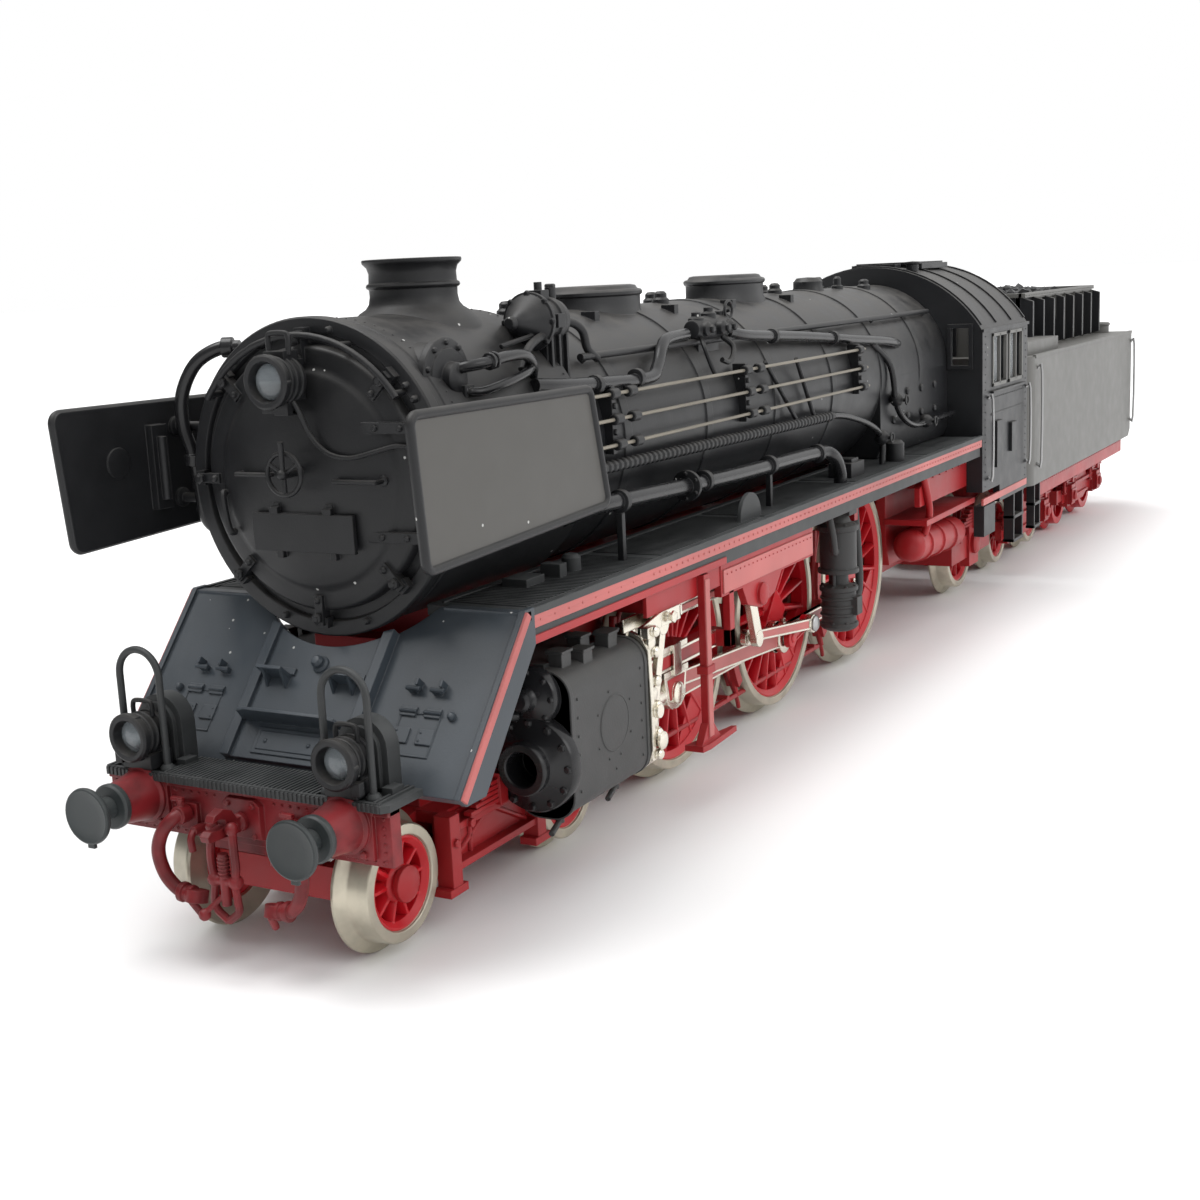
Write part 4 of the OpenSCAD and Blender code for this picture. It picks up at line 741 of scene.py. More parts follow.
def build_apron():
    s = Shape()
    cut_r = SMOKE_R + 1.35

    def cut_edge(y):
        """How far up the slope the smokebox cut-out is at y."""
        z = BOILER_Z - math.sqrt(max(0.0, cut_r ** 2 - y * y))
        return min(SLOPE_LEN, (z - SLOPE_FOOT.z) / SLOPE_UP.z)

    top_y = math.sqrt(cut_r ** 2 - (BOILER_Z - SLOPE_TOP.z) ** 2)
    arch = [(top_y - 2 * top_y * k / 24, cut_edge(top_y - 2 * top_y * k / 24)) for k in range(25)]
    w = HALF_WIDTH
    # The apron's face is in the grey-blue that is painted sheen on glossy dark paint
    on_slope(s, [(-w, 0), (w, 0), (w, SLOPE_LEN)] + arch + [(-w, SLOPE_LEN)], -0.9, 0)
    # Short level top on both sides, behind the slope
    m = s.mark()
    s.box((-22.55, 9.6, 24.6), (-21.5, w, 25.42))
    s.mirror(m)
    # Centre panel between two strips, tall enough to meet the smokebox
    panel = 5.3
    inner = [(panel - 2 * panel * k / 12, cut_edge(panel - 2 * panel * k / 12) - 0.1) for k in range(13)]
    on_slope(s, [(-panel, 0.9), (panel, 0.9)] + inner, -0.1, 0.55)
    m = s.mark()
    on_slope(s, [(panel, 0.9), (panel + 0.95, 0.9), (panel + 0.95, cut_edge(6.2) - 0.1),
                 (panel, cut_edge(5.5))], -0.1, 0.95)
    # Bracket steps with their gussets
    slope_box(s, 2.3, 4.9, 8.2, 8.5, 0.5, 2.3)
    for y in (2.6, 4.5):
        s.slab([(0, 0), (0, 1.0), (1.6, 1.0)], slope(y, 7.25, 0.5), SLOPE_OUT, SLOPE_UP, 0, 0.25)
    slope_box(s, 2.0, 5.1, 8.5, 9.1, 0.5, 0.8)
    # Hatch with lugs, hinges and its turning knob
    for y0, y1, s0, s1 in ((9.2, 9.32, 3.0, 6.6), (12.9, 13.02, 3.0, 6.6), (9.2, 13.0, 2.95, 3.07),
                           (9.2, 13.0, 6.55, 6.67)):
        slope_box(s, y0, y1, s0, s1, -0.05, 0.1)
    for y in (9.7, 12.0):
        slope_box(s, y - 0.4, y + 0.4, 8.3, 8.75, -0.05, 0.5)
        slope_box(s, y + 0.35, y + 0.6, 8.7, 9.3, -0.05, 0.9)
        s.rod(slope(y - 0.5, 8.5, 0.55), slope(y + 0.8, 8.5, 0.55), 0.2, 8)
    for y in (9.9, 12.2):
        slope_box(s, y - 0.75, y + 0.75, 4.0, 5.3, -0.05, 0.18)
        slope_box(s, y - 0.75, y + 0.75, 6.3, 7.1, -0.05, 0.2)
        s.rod(slope(y - 0.8, 6.7, 0.22), slope(y + 0.8, 6.7, 0.22), 0.16, 8)
        for q in (4.3, 5.0):
            s.lathe([(0.13, 0), (0.1, 0.08), (0, 0.1)], slope(y - 0.45, q, 0.16), SLOPE_OUT, 6)
    s.lathe([(0.36, 0), (0.36, 0.3), (0.22, 0.5), (0, 0.52)], slope(14.0, 6.6, 0), SLOPE_OUT, 10)
    s.mirror(m)
    # Knob between the steps
    s.lathe([(0.75, 0.4), (0.75, 0.75), (0.5, 0.9), (0.55, 1.3), (0.35, 1.6), (0, 1.65)], slope(0.2, 9.7),
            SLOPE_OUT, 16)
    # Long shelf step with upturned ends, and the inset panel below it
    shelf = [(-5.6, -0.2), (-4.9, 1.9), (-3.9, 2.3), (3.9, 2.3), (4.9, 1.9), (5.6, -0.2)]
    s.slab([(a, b) for a, b in shelf], slope(0, 4.3, 0.5), Y, SLOPE_OUT, -0.14, 0.14)
    slope_box(s, -5.2, 5.2, 4.45, 5.0, 0.5, 0.75)
    slope_box(s, -3.4, 3.4, 1.4, 3.7, 0.5, 0.68)
    slope_box(s, -3.0, 3.0, 1.75, 3.35, 0.66, 0.76)
    for y in (-2.2, 2.2):
        s.lathe([(0.2, 0), (0.15, 0.12), (0, 0.15)], slope(y, 2.5, 0.74), SLOPE_OUT, 8)
    # Outer cheeks with their red edging, made paler as a painted highlight
    m = s.mark()
    s.side([(-11.9, 12.5), (-10.9, 13.3), (-21.5, 25.6), (-23.0, 25.6), (-23.0, 22.6), (-14.6, 12.5)],
           w - 0.5, w)
    s.use(1).slab([(0, -0.62), (SLOPE_LEN, -0.62), (SLOPE_LEN, 0.12), (0, 0.12)],
                  SLOPE_FOOT + Y * (w + 0.14), SLOPE_UP, SLOPE_OUT, -0.3, 0.1)
    s.mirror(m)
    piece("apron", s, [APRON_SHEEN, RED_HIGHLIGHT], "locomotive", ["front_apron"], 0.05)


def build_platform():
    s = Shape()
    s.plan([(-10.75, -14.2), (-6.6, -14.2), (-6.0, -13.7), (-6.0, 13.7), (-6.6, 14.2), (-10.75, 14.2)],
           13.38, 13.95)
    # Fine tread ribs and the toothed front lip
    for i in range(-32, 33):
        y = i * 0.42
        if abs(abs(y) - 10.2) < 2.5:
            continue
        s.box((-10.6, y - 0.11, 13.9), (-6.25, y + 0.11, 14.18))
    for i in range(-32, 33):
        s.box((-6.08, i * 0.42 - 0.12, 13.4), (-5.92, i * 0.42 + 0.12, 14.02))
    s.box((-6.4, -13.6, 13.9), (-6.1, 13.6, 14.1))
    m = s.mark()
    # Arched box behind the lamp, with its flat feet
    s.cross([(7.9, 13.9), (12.5, 13.9), (12.5, 17.3)] + arc(10.2, 17.3, 2.3, 0, 180, 12)[1:] , -10.5, -8.95)
    s.cross([(8.5, 14.3), (11.9, 14.3), (11.9, 17.2)] + arc(10.2, 17.3, 1.7, 0, 180, 12)[1:], -8.95, -8.6)
    s.box((-9.6, 12.3, 13.9), (-8.2, 13.3, 14.6))
    s.box((-9.6, 7.1, 13.9), (-8.2, 8.1, 14.6))
    # Hand rail that straddles the lamp
    s.tube([(-7.2, 8.1, 13.9), (-7.2, 8.1, 17.5), (-7.2, 8.1, 21.2)]
           + [(-7.2, y, z) for y, z in arc(10.2, 21.6, 2.1, 180, 0, 12)]
           + [(-7.2, 12.3, 21.2), (-7.2, 12.3, 17.5), (-7.2, 12.3, 13.9)], 0.3, 10, 2)
    for y in (8.1, 12.3):
        s.lathe([(0.6, 0), (0.6, 0.25), (0.42, 0.5), (0.3, 0.5)], (-7.2, y, 13.95), Z, 12)
    s.mirror(m)
    piece("platform", s, [DECK], "locomotive", ["front_platform"], 0.03)


def lamp_shape(s, c, r):
    """Round lamp body that looks forward, with its bezel, bands and bolts; the caller adds box body, handle
    and foot.
    """
    x, y, z = c
    s.lathe([(0, -1.9), (r * 0.55, -1.8), (r * 0.85, -1.45), (r, -1.1), (r, 0.95), (r + 0.25, 1.05),
             (r + 0.3, 1.3), (r + 0.3, 1.62), (r + 0.12, 1.75), (r - 0.22, 1.72), (r - 0.3, 1.5),
             (r - 0.4, 0.9), (r - 0.5, 0.55), (0, 0.5)], c, X, 36)
    for t in (-0.7, 0.0, 0.6):
        s.ring((x + t, y, z), X, r + 0.02, 0.12, 30, 6)
    s.bolts((x + 1.1, y, z), X, r + 0.2, 3, 0.2, 0.5, 0.5)


def build_lamps():
    s = Shape()
    m = s.mark()
    c = (-6.9, 10.2, 16.9)
    lamp_shape(s, c, 1.7)
    s.box((-8.4, 8.7, 14.2), (-6.0, 11.7, 15.4))
    s.box((-8.2, 9.0, 15.3), (-6.9, 11.4, 16.2))
    s.box((-6.3, 11.5, 14.6), (-5.7, 12.2, 15.6))
    s.tube([(-7.2, 9.2, 18.3), (-7.2, 9.2, 19.1), (-7.2, 9.5, 19.5), (-7.2, 10.9, 19.5), (-7.2, 11.2, 19.1),
            (-7.2, 11.2, 18.3)], 0.2, 8, 4)
    s.mirror(m)
    c = (-15, 0, 44.2)
    lamp_shape(s, c, 1.85)
    s.box((-17.0, -0.95, 42.6), (-16.0, 0.95, 45.8))
    s.box((-15.9, -0.5, 41.5), (-14.7, 0.9, 42.5))
    s.box((-15.6, -2.2, 41.6), (-15.3, 0.9, 41.85))
    s.box((-15.6, -2.2, 41.6), (-15.35, -1.95, 42.8))
    s.box((-16.4, -1.0, 45.7), (-14.6, 1.0, 46.5))
    s.tube([(-15.3, -0.95, 46.2), (-15.3, -1.0, 47.5), (-15.3, -0.7, 47.85), (-15.3, 0.7, 47.85),
            (-15.3, 1.0, 47.5), (-15.3, 0.95, 46.2)], 0.22, 8, 4)
    s.box((-17.14, -0.9, 43.4), (-16.2, 0.9, 45.0))
    piece("lamps", s, [SMOKE], "locomotive", ["head_lamps"], 0.04)
    # Bright bowls behind the lenses
    b = Shape()
    m = b.mark()
    b.lathe([(0, -6.55), (0.6, -6.5), (1.15, -6.3), (1.28, -6.22), (1.28, -6.2), (0, -6.2)],
            (0, 10.2, 16.9), X, 28)
    b.mirror(m)
    b.lathe([(0, -14.62), (0.7, -14.55), (1.25, -14.4), (1.4, -14.31), (1.4, -14.3), (0, -14.3)],
            (0, 0, 44.2), X, 28)
    piece("lamp_bowls", b, [SILVER], "locomotive", (), 0)
    # Convex glasses
    g = Shape()
    m = g.mark()
    g.lathe([(0, -6.16), (1.32, -6.16), (1.3, -5.95), (0.95, -5.72), (0.5, -5.58), (0, -5.54)],
            (0, 10.2, 16.9), X, 32)
    g.mirror(m)
    g.lathe([(0, -14.27), (1.47, -14.27), (1.43, -13.95), (1.05, -13.65), (0.55, -13.48), (0, -13.43)],
            (0, 0, 44.2), X, 32)
    piece("lamp_glasses", g, [LENS], "locomotive", ["lamp_lenses"], 0)


def build_beam():
    s = Shape()
    s.box((-8.0, -14.0, 8.95), (-6.75, 14.0, 13.35))
    s.box((-8.0, -14.0, 12.95), (-6.5, 14.0, 13.35))
    s.box((-7.9, -4.4, 8.2), (-6.9, 4.4, 9.1))
    m = s.mark()
    # Square bases, conical housings and their dark collars
    s.box((-6.8, 7.6, 9.5), (-6.35, 12.6, 13.3))
    s.bolts((-6.35, 10.06, 11.5), X, 2.3, 4, 0.32, 0.25, math.pi / 4)
    s.lathe([(0, -6.4), (2.35, -6.4), (2.35, -6.1), (2.1, -5.9), (1.95, -5.0), (1.8, -4.0), (1.68, -3.1),
             (0, -3.1)], (0, 10.06, 12.07), X, 36)
    s.use(1).lathe([(0, -3.15), (1.8, -3.15), (1.84, -2.95), (1.84, -2.65), (1.7, -2.5), (0, -2.5)],
                   (0, 10.06, 12.07), X, 32)
    s.use(0)
    s.rivets((-6.75, 13.4, 9.4), (-6.75, 13.4, 12.7), 6, X, 0.16, 0.12)
    s.rivets((-6.75, 7.2, 9.4), (-6.75, 7.2, 12.7), 6, X, 0.16, 0.12)
    s.rivets((-6.75, 3.0, 12.6), (-6.75, 7.0, 12.6), 6, X, 0.15, 0.12)
    s.rivets((-6.75, 3.0, 9.3), (-6.75, 13.2, 9.3), 13, X, 0.15, 0.12)
    s.box((-6.8, 4.6, 9.6), (-6.3, 6.4, 11.8))
    s.mirror(m)
    # Plate of the draw hook
    s.cross([(-2.0, 9.5), (2.0, 9.5), (2.0, 12.4), (1.4, 12.9), (-1.4, 12.9), (-2.0, 12.4)], -6.8, -6.3,
            0.92)
    s.bolts((-6.3, 0, 11.1), X, 1.75, 4, 0.25, 0.2, math.pi / 4)
    piece("front_beam", s, [BEAM_RED, BUFFER], "locomotive", ["buffer_beam"], 0.05)

    b = Shape()
    m = b.mark()
    b.lathe([(0, -0.28), (1.2, -0.22), (1.9, -0.14), (2.1, -0.06), (2.22, -0.12), (2.28, -0.32),
             (2.22, -0.52), (1.5, -0.75), (0.95, -1.0), (0.9, -1.3), (0.9, -2.6), (0, -2.6)],
             (0, 10.06, 12.07), X, 48)
    b.box((-0.6, 9.7, 9.45), (-0.28, 10.4, 9.95))
    b.mirror(m)
    piece("buffer_discs", b, [BUFFER], "locomotive", ["buffer_heads"], 0.04)

    h = Shape()
    # Draw hook
    h.slab([(-2.2, 10.6), (-5.6, 10.4), (-6.9, 10.5), (-6.9, 11.6), (-5.4, 11.6), (-4.9, 12.4),
            (-4.0, 12.75), (-3.0, 12.5), (-2.7, 12.0), (-3.5, 12.1), (-4.1, 11.9), (-4.15, 11.4),
            (-3.4, 11.3), (-2.5, 11.4), (-2.05, 11.1)], (0, 0.42, 0), X, Z, 0, 0.84)
    h.lathe([(0.75, -6.4), (0.75, -5.9), (0.5, -5.7), (0.5, -5.3)], (0, 0, 11), X, 14)
    # Links, screw with its handle, and the hanging bow
    m = h.mark()
    h.tube([(-4.1, 1.0, 11.3), (-3.9, 1.15, 9.6), (-3.9, 1.2, 8.2), (-3.95, 1.0, 7.1)], 0.34, 8, 4)
    h.ball((-4.1, 0.95, 11.2), 0.55, 10)
    h.ball((-3.95, 1.05, 7.0), 0.6, 10)
    h.tube([(-3.95, 0.95, 7.0), (-3.85, 1.15, 5.6), (-3.9, 1.1, 4.6), (-3.95, 0.0, 3.7)], 0.32, 8, 5)
    h.mirror(m)
    h.rod((-3.95, -1.5, 7.0), (-3.95, 1.5, 7.0), 0.42, 12)
    h.rod((-3.9, 0, 9.2), (-3.9, 0, 5.0), 0.4, 12)
    for k in range(6):
        h.ring((-3.9, 0, 8.9 - k * 0.3), Z, 0.42, 0.1, 12, 5)
    h.rod((-3.9, 0, 6.0), (-3.3, -1.7, 4.4), 0.22, 8)
    h.ball((-3.25, -1.8, 4.2), 0.5, 10)
    # Brake hoses with cocks and coupling heads
    for y in (-5.5, 5.5):
        d = 1 if y > 0 else -1
        h.tube([(-6.5, y, 10.9), (-5.6, y, 11.1), (-4.9, y + 0.3 * d, 10.9), (-4.5, y + 1.2 * d, 9.8),
                (-4.4, y + 1.7 * d, 8.2), (-4.5, y + 1.3 * d, 6.4), (-4.7, y + 0.3 * d, 5.2),
                (-4.8, y - 0.9 * d, 4.9)], 0.55, 12, 6)
        h.lathe([(0.62, 0), (0.82, 0.1), (0.82, 0.5), (0.62, 0.6), (0.62, 0.9), (0.75, 1.0), (0.75, 1.3),
                 (0.6, 1.4)], (-4.8, y + 0.1 * d, 5.0), (0, -d, -0.1), 14)
        h.lathe([(0.9, -0.5), (0.9, 0.5)], (-4.85, y - 1.5 * d, 4.8), (0.3, 0, -1), 14)
        h.rod((-4.2, y - 1.5 * d, 4.6), (-4.9, y - 1.7 * d, 3.4), 0.3, 8)
        h.lathe([(0.75, -0.5), (0.75, 0.5)], (-5.6, y, 11.1), X, 12)
        h.rod((-5.6, y, 11.2), (-5.6, y, 12.3), 0.3, 8)
        h.box((-5.8, y - 0.9, 12.2), (-5.4, y + 0.3, 12.5))
        h.rod((-6.6, y - 1.2 * d, 9.9), (-5.4, y - 1.2 * d, 9.9), 0.4, 10)
        h.tube([(-5.5, y - 1.2 * d, 9.9), (-5.0, y - 1.3 * d, 9.4), (-5.0, y - 1.4 * d, 8.4)], 0.3, 8, 4)
    piece("coupling", h, [BEAM_RED], "locomotive", ["coupling_and_hoses"], 0.04)


def build_running_boards():
    s = Shape()
    inner = math.sqrt((SMOKE_R + 0.1) ** 2 - (BOILER_Z - 25.4) ** 2) + 0.05
    m = s.mark()
    s.box((-150.4, inner, BOARD_Z + 0.02), (-22.6, 17.2, 25.32))
    # Tread ribs in panels, as on the moulding
    x = -24.0
    panel_end = [-46.5, -70.5, -98.5, -126.5, -149.5]
    for end in panel_end:
        while x > end:
            s.box((x - 0.14, 8.6, 25.25), (x + 0.14, 16.1, 25.44))
            x -= 0.6
        x -= 1.4
    for y in (8.3, 16.35):
        s.box((-150, y - 0.12, 25.25), (-23.4, y + 0.12, 25.46))
    # Half-round plate, and small fittings on the board
    s.side([(-72.8, 25.3), (-67.2, 25.3)] + arc(-70, 25.5, 2.7, 0, 180, 16), 15.0, 15.45)
    s.box((-33.5, 9.5, 25.4), (-30.5, 12, 26.1))
    s.box((-36.5, 10.5, 25.4), (-35.3, 12.5, 26.6))
    s.lathe([(0.9, 25.3), (0.9, 26.6), (0.6, 26.9), (0, 26.9)], (-39, 11.5, 0), Z, 16)
    # Edge angle, its riveted red strip made paler as a painted highlight, and the rail below
    s.box((-150.4, 16.75, 24.9), (-22.6, 17.26, 25.52))
    s.use(1).box((-150.2, 16.8, 23.85), (-22.8, 17.22, 24.92))
    s.use(0)
    s.box((-150.2, 16.7, 22.45), (-22.8, 16.95, 23.9))
    s.use(1)
    s.rivets((-44, 17.22, 24.4), (-149, 17.22, 24.4), 90, Y, 0.15, 0.09)
    s.rivets((-24, 17.22, 24.4), (-40, 17.22, 24.4), 8, Y, 0.12, 0.07)
    s.use(2).box((-60, 16.9, 22.5), (-23.0, 17.1, 23.2))
    s.mirror(m)
    piece("boards", s, [DECK, RED_HIGHLIGHT, RED], "locomotive", ["running_boards"], 0.03)

# ---------------------------------------------------------------- wheels

BACK_Y, FACE_Y = 7.15, 9.95


def crank_angle(side):
    """Degrees from +X towards +Z; the right crank is a quarter turn ahead."""
    return -45 if side > 0 else 45


def polar(c, r, degrees):
    t = math.radians(degrees)
    return (c[0] + r * math.cos(t), c[1] + r * math.sin(t))


def wheel(s, x, d, spokes, hub, w0, w1, rim):
    """Left wheel of an axle: plated tyre, painted rim, spokes and hub."""
    r = d / 2
    o = (x, 0, r)
    s.use(1).lathe([(r - rim, BACK_Y), (r + 0.82, BACK_Y), (r + 0.98, 7.3), (r + 0.98, 7.5),
                    (r + 0.7, 7.75), (r + 0.12, 8.0), (r, 8.2), (r - 0.1, 9.78), (r - 0.22, 9.93),
                    (r - 1.0, FACE_Y), (r - 1.08, 9.85), (r - 1.1, 9.6), (r - rim, 9.6)], o, Y, 72,
                    loop=True)
    s.use(0).lathe([(r - 1.1, 7.5), (r - 1.1, 9.72), (r - 1.3, 9.78), (r - rim - 0.55, 9.35),
                    (r - rim - 0.6, 7.9)], o, Y, 72, loop=True)
    for k in range(spokes):
        a = 2 * math.pi * k / spokes
        rad = Vector((math.cos(a), 0, math.sin(a)))
        tan = Vector((-math.sin(a), 0, math.cos(a)))
        verts = []
        for q, h in ((hub - 0.2, w0), (r - rim - 0.3, w1)):
            for y, t in ((7.9, 0), (8.25, h), (8.95, h), (9.4, h * 0.35), (9.4, -h * 0.35), (8.95, -h),
                         (8.25, -h)):
                verts.append(Vector(o) + rad * q + tan * t + Y * y)
        s.add(verts, [tuple(range(7)), tuple(range(7, 14))]
              + [(i, (i + 1) % 7, 7 + (i + 1) % 7, 7 + i) for i in range(7)])
    s.lathe([(0, BACK_Y - 0.4), (hub, BACK_Y - 0.4), (hub, 9.35), (hub - 0.25, 9.65), (hub * 0.6, 9.8),
             (hub * 0.55, 10.0), (0, 10.02)], o, Y, 28)


def plain_axle(name, node, body, x, d, spokes, hub, w0, w1, rim, journal=0.0):
    s = Shape()
    m = s.mark()
    wheel(s, x, d, spokes, hub, w0, w1, rim)
    s.mirror(m)
    s.use(2).rod((x, -9.6, d / 2), (x, 9.6, d / 2), 0.7, 16)
    if journal:
        s.rod((x, -journal, d / 2), (x, journal, d / 2), 0.75, 14)
    piece(name, s, [WHEEL_RED, TYRE, STEEL], body, [node], 0.03)


def rod_body(s, ys, a, b, ra, rb, wa, wb, inlay=True, caps=(True, True)):
    """Side rod on the left: nickel edges, red flute made paler as a painted highlight, round eyes with oil
    caps.
    """
    (ax, az), (bx, bz) = a, b
    u = Vector((bx - ax, 0, bz - az))
    length = u.length
    u.normalize()
    v = Vector((-u.z, 0, u.x))
    o = Vector((ax, 0, az))
    # v x u points along +Y, so outlines are given as (across, along)
    web = [(-wa / 2, ra * 0.5), (wa / 2, ra * 0.5), (wb / 2, length - rb * 0.5),
           (-wb / 2, length - rb * 0.5)]
    y0, y1 = ys
    s.use(0).slab(web, o, v, u, y0, y1 - 0.1)
    for sign in (1, -1):
        edge = [(sign * wa / 2, ra * 0.5), (sign * (wa / 2 - 0.22), ra * 0.5),
                (sign * (wb / 2 - 0.22), length - rb * 0.5), (sign * wb / 2, length - rb * 0.5)]
        s.slab(edge, o, v, u, y0, y1)
    if inlay:
        fl = [(-(wa / 2 - 0.2), ra + 0.5), (wa / 2 - 0.2, ra + 0.5), (wb / 2 - 0.2, length - rb - 0.5),
              (-(wb / 2 - 0.2), length - rb - 0.5)]
        s.use(1).slab(fl, o, v, u, y1 - 0.12, y1 - 0.03)
    for c, r, cap in ((a, ra, caps[0]), (b, rb, caps[1])):
        s.use(0).lathe([(r, y0), (r, y1 - 0.02), (r - 0.1, y1 + 0.03), (0, y1 + 0.03)], (c[0], 0, c[1]), Y,
                       28)
        if cap:
            s.lathe([(r * 0.5, y1), (r * 0.5, y1 + 0.12), (r * 0.38, y1 + 0.2), (0, y1 + 0.2)],
                    (c[0], 0, c[1]), Y, 18)


def build_drivers():
    names = ("front", "middle", "rear")
    for name, x in zip(names, DRIVERS):
        s = Shape()
        for side in (1, -1):
            m = s.mark()
            wheel(s, x, 23.0, 19, 2.5, 0.5, 0.34, 1.35)
            c = (x, DRIVER_Z)
            a = crank_angle(side)
            pin = polar(c, CRANK_R, a)
            # Crank boss, crescent balance weight and the pin
            u = Vector((math.cos(math.radians(a)), 0, math.sin(math.radians(a))))
            v = Vector((-u.z, 0, u.x))
            s.slab([(-2.0, -1.5), (2.0, -1.5), (1.55, CRANK_R + 1.0), (-1.55, CRANK_R + 1.0)],
                   (x, 0, DRIVER_Z), v, u, 8.6, 10.1)
            s.lathe([(1.9, 8.6), (1.9, 10.0), (1.75, 10.2), (0, 10.2)], (pin[0], 0, pin[1]), Y, 28)
            inner = [(9.6 * math.cos(math.radians(t)), 9.6 * math.sin(math.radians(t)))
                     for t in range(-38, 39, 4)]
            crescent = inner + [(7.1, 5.2), (6.7, 2.6), (6.6, 0), (6.7, -2.6), (7.1, -5.2)]
            s.slab([(-q, p) for p, q in crescent], (x, 0, DRIVER_Z), v, -u, 8.1, 9.25)
            s.use(2).rod((pin[0], 10.1, pin[1]), (pin[0], 11.3 if name != "middle" else 12.5, pin[1]), 0.78,
                         18)
            if name != "middle":
                s.lathe([(1.15, 11.2), (1.15, 11.4), (0.9, 11.55), (0, 11.55)], (pin[0], 0, pin[1]), Y, 18)
                s.bolt((pin[0], 11.5, pin[1]), Y, 0.6, 0.3)
            else:
                end = polar(c, RETURN_R, a - 90)
                rod_body(s, (12.4, 13.1), pin, end, 1.15, 1.0, 1.5, 1.4, False, (True, False))
                s.use(2).rod((end[0], 13.0, end[1]), (end[0], 14.25, end[1]), 0.58, 14)
                s.lathe([(0.95, 14.06), (0.95, 14.2), (0.7, 14.4), (0, 14.42)], (end[0], 0, end[1]), Y, 16)
            if side < 0:
                s.flip(m)
        s.use(2).rod((x, -8, 11.5), (x, 8, 11.5), 1.25, 18)
        piece("driver_" + name, s, [WHEEL_RED, TYRE, STEEL], "driver_" + name, ["driver_wheelset_" + name],
              0.03)


def build_rods():
    middle = (DRIVERS[1], 11.5)
    for side, tag in ((1, "left"), (-1, "right")):
        a = crank_angle(side)
        pins = [polar((x, DRIVER_Z), CRANK_R, a) for x in DRIVERS]
        s = Shape()
        rod_body(s, (10.35, 11.1), pins[0], pins[1], 1.7, 1.9, 1.6, 1.6)
        rod_body(s, (10.35, 11.1), pins[1], pins[2], 1.9, 1.7, 1.6, 1.6, True, (False, True))
        for p in pins[:1] + pins[2:]:
            s.box((p[0] - 0.3, 10.5, p[1] + 1.55), (p[0] + 0.3, 11.0, p[1] + 2.05))
        if side < 0:
            s.flip((0, 0))
        piece("side_rod_" + tag, s, [NICKEL, RED_HIGHLIGHT], "coupling_rod_" + tag, ["coupling_rod_" + tag],
              0.03)

        s = Shape()
        drop = CYL_Z - pins[1][1]
        cross_x = pins[1][0] + math.sqrt(34.0 ** 2 - drop ** 2)
        rod_body(s, (11.5, 12.15), pins[1], (cross_x, CYL_Z), 1.8, 1.3, 1.9, 1.5, True, (False, True))
        s.box((pins[1][0] - 0.3, 11.6, pins[1][1] + 1.7), (pins[1][0] + 0.3, 12.1, pins[1][1] + 2.3))
        if side < 0:
            s.flip((0, 0))
        piece("drive_rod_" + tag, s, [NICKEL, RED_HIGHLIGHT], "main_rod_" + tag, ["main_rod_" + tag],
              0.03)

        s = Shape()
        end = polar(middle, RETURN_R, a - 90)
        lean = math.asin((end[0] - middle[0]) / 5.7)
        foot = (-70 + 5.7 * math.sin(lean), 17.5 - 5.7 * math.cos(lean))
        rod_body(s, (13.3, 13.98), end, foot, 1.1, 0.9, 1.3, 1.1, True, (False, True))
        s.use(0).box((foot[0] - 0.9, 13.3, foot[1] - 0.75), (foot[0] + 0.5, 14.05, foot[1] + 0.75))
        if side < 0:
            s.flip((0, 0))
        piece("valve_rod_" + tag, s, [NICKEL, RED_HIGHLIGHT], "eccentric_rod_" + tag, ["eccentric_rod_" + tag],
              0.03)

        # Red-painted flute of the radius rod, made paler as a painted highlight, and a guide block at its
        # front
        s = Shape()
        s.use(1).box((-68.8, 13.86, 18.3), (-46.4, 13.97, 18.9))
        s.use(0).box((-46.4, 12.95, 17.9), (-43.9, 14.1, 19.5))
        s.bolt((-45.2, 14.1, 18.7), Y, 0.45, 0.3)
        s.lathe([(0.55, 0), (0.55, 0.5), (0.35, 0.7), (0, 0.7)], (-70, 13.85, 18.6), Y, 14)
        if side < 0:
            s.flip((0, 0))
        piece("radius_rod_flute_" + tag, s, [NICKEL, RED_HIGHLIGHT], "radius_rod_" + tag, (), 0.03)


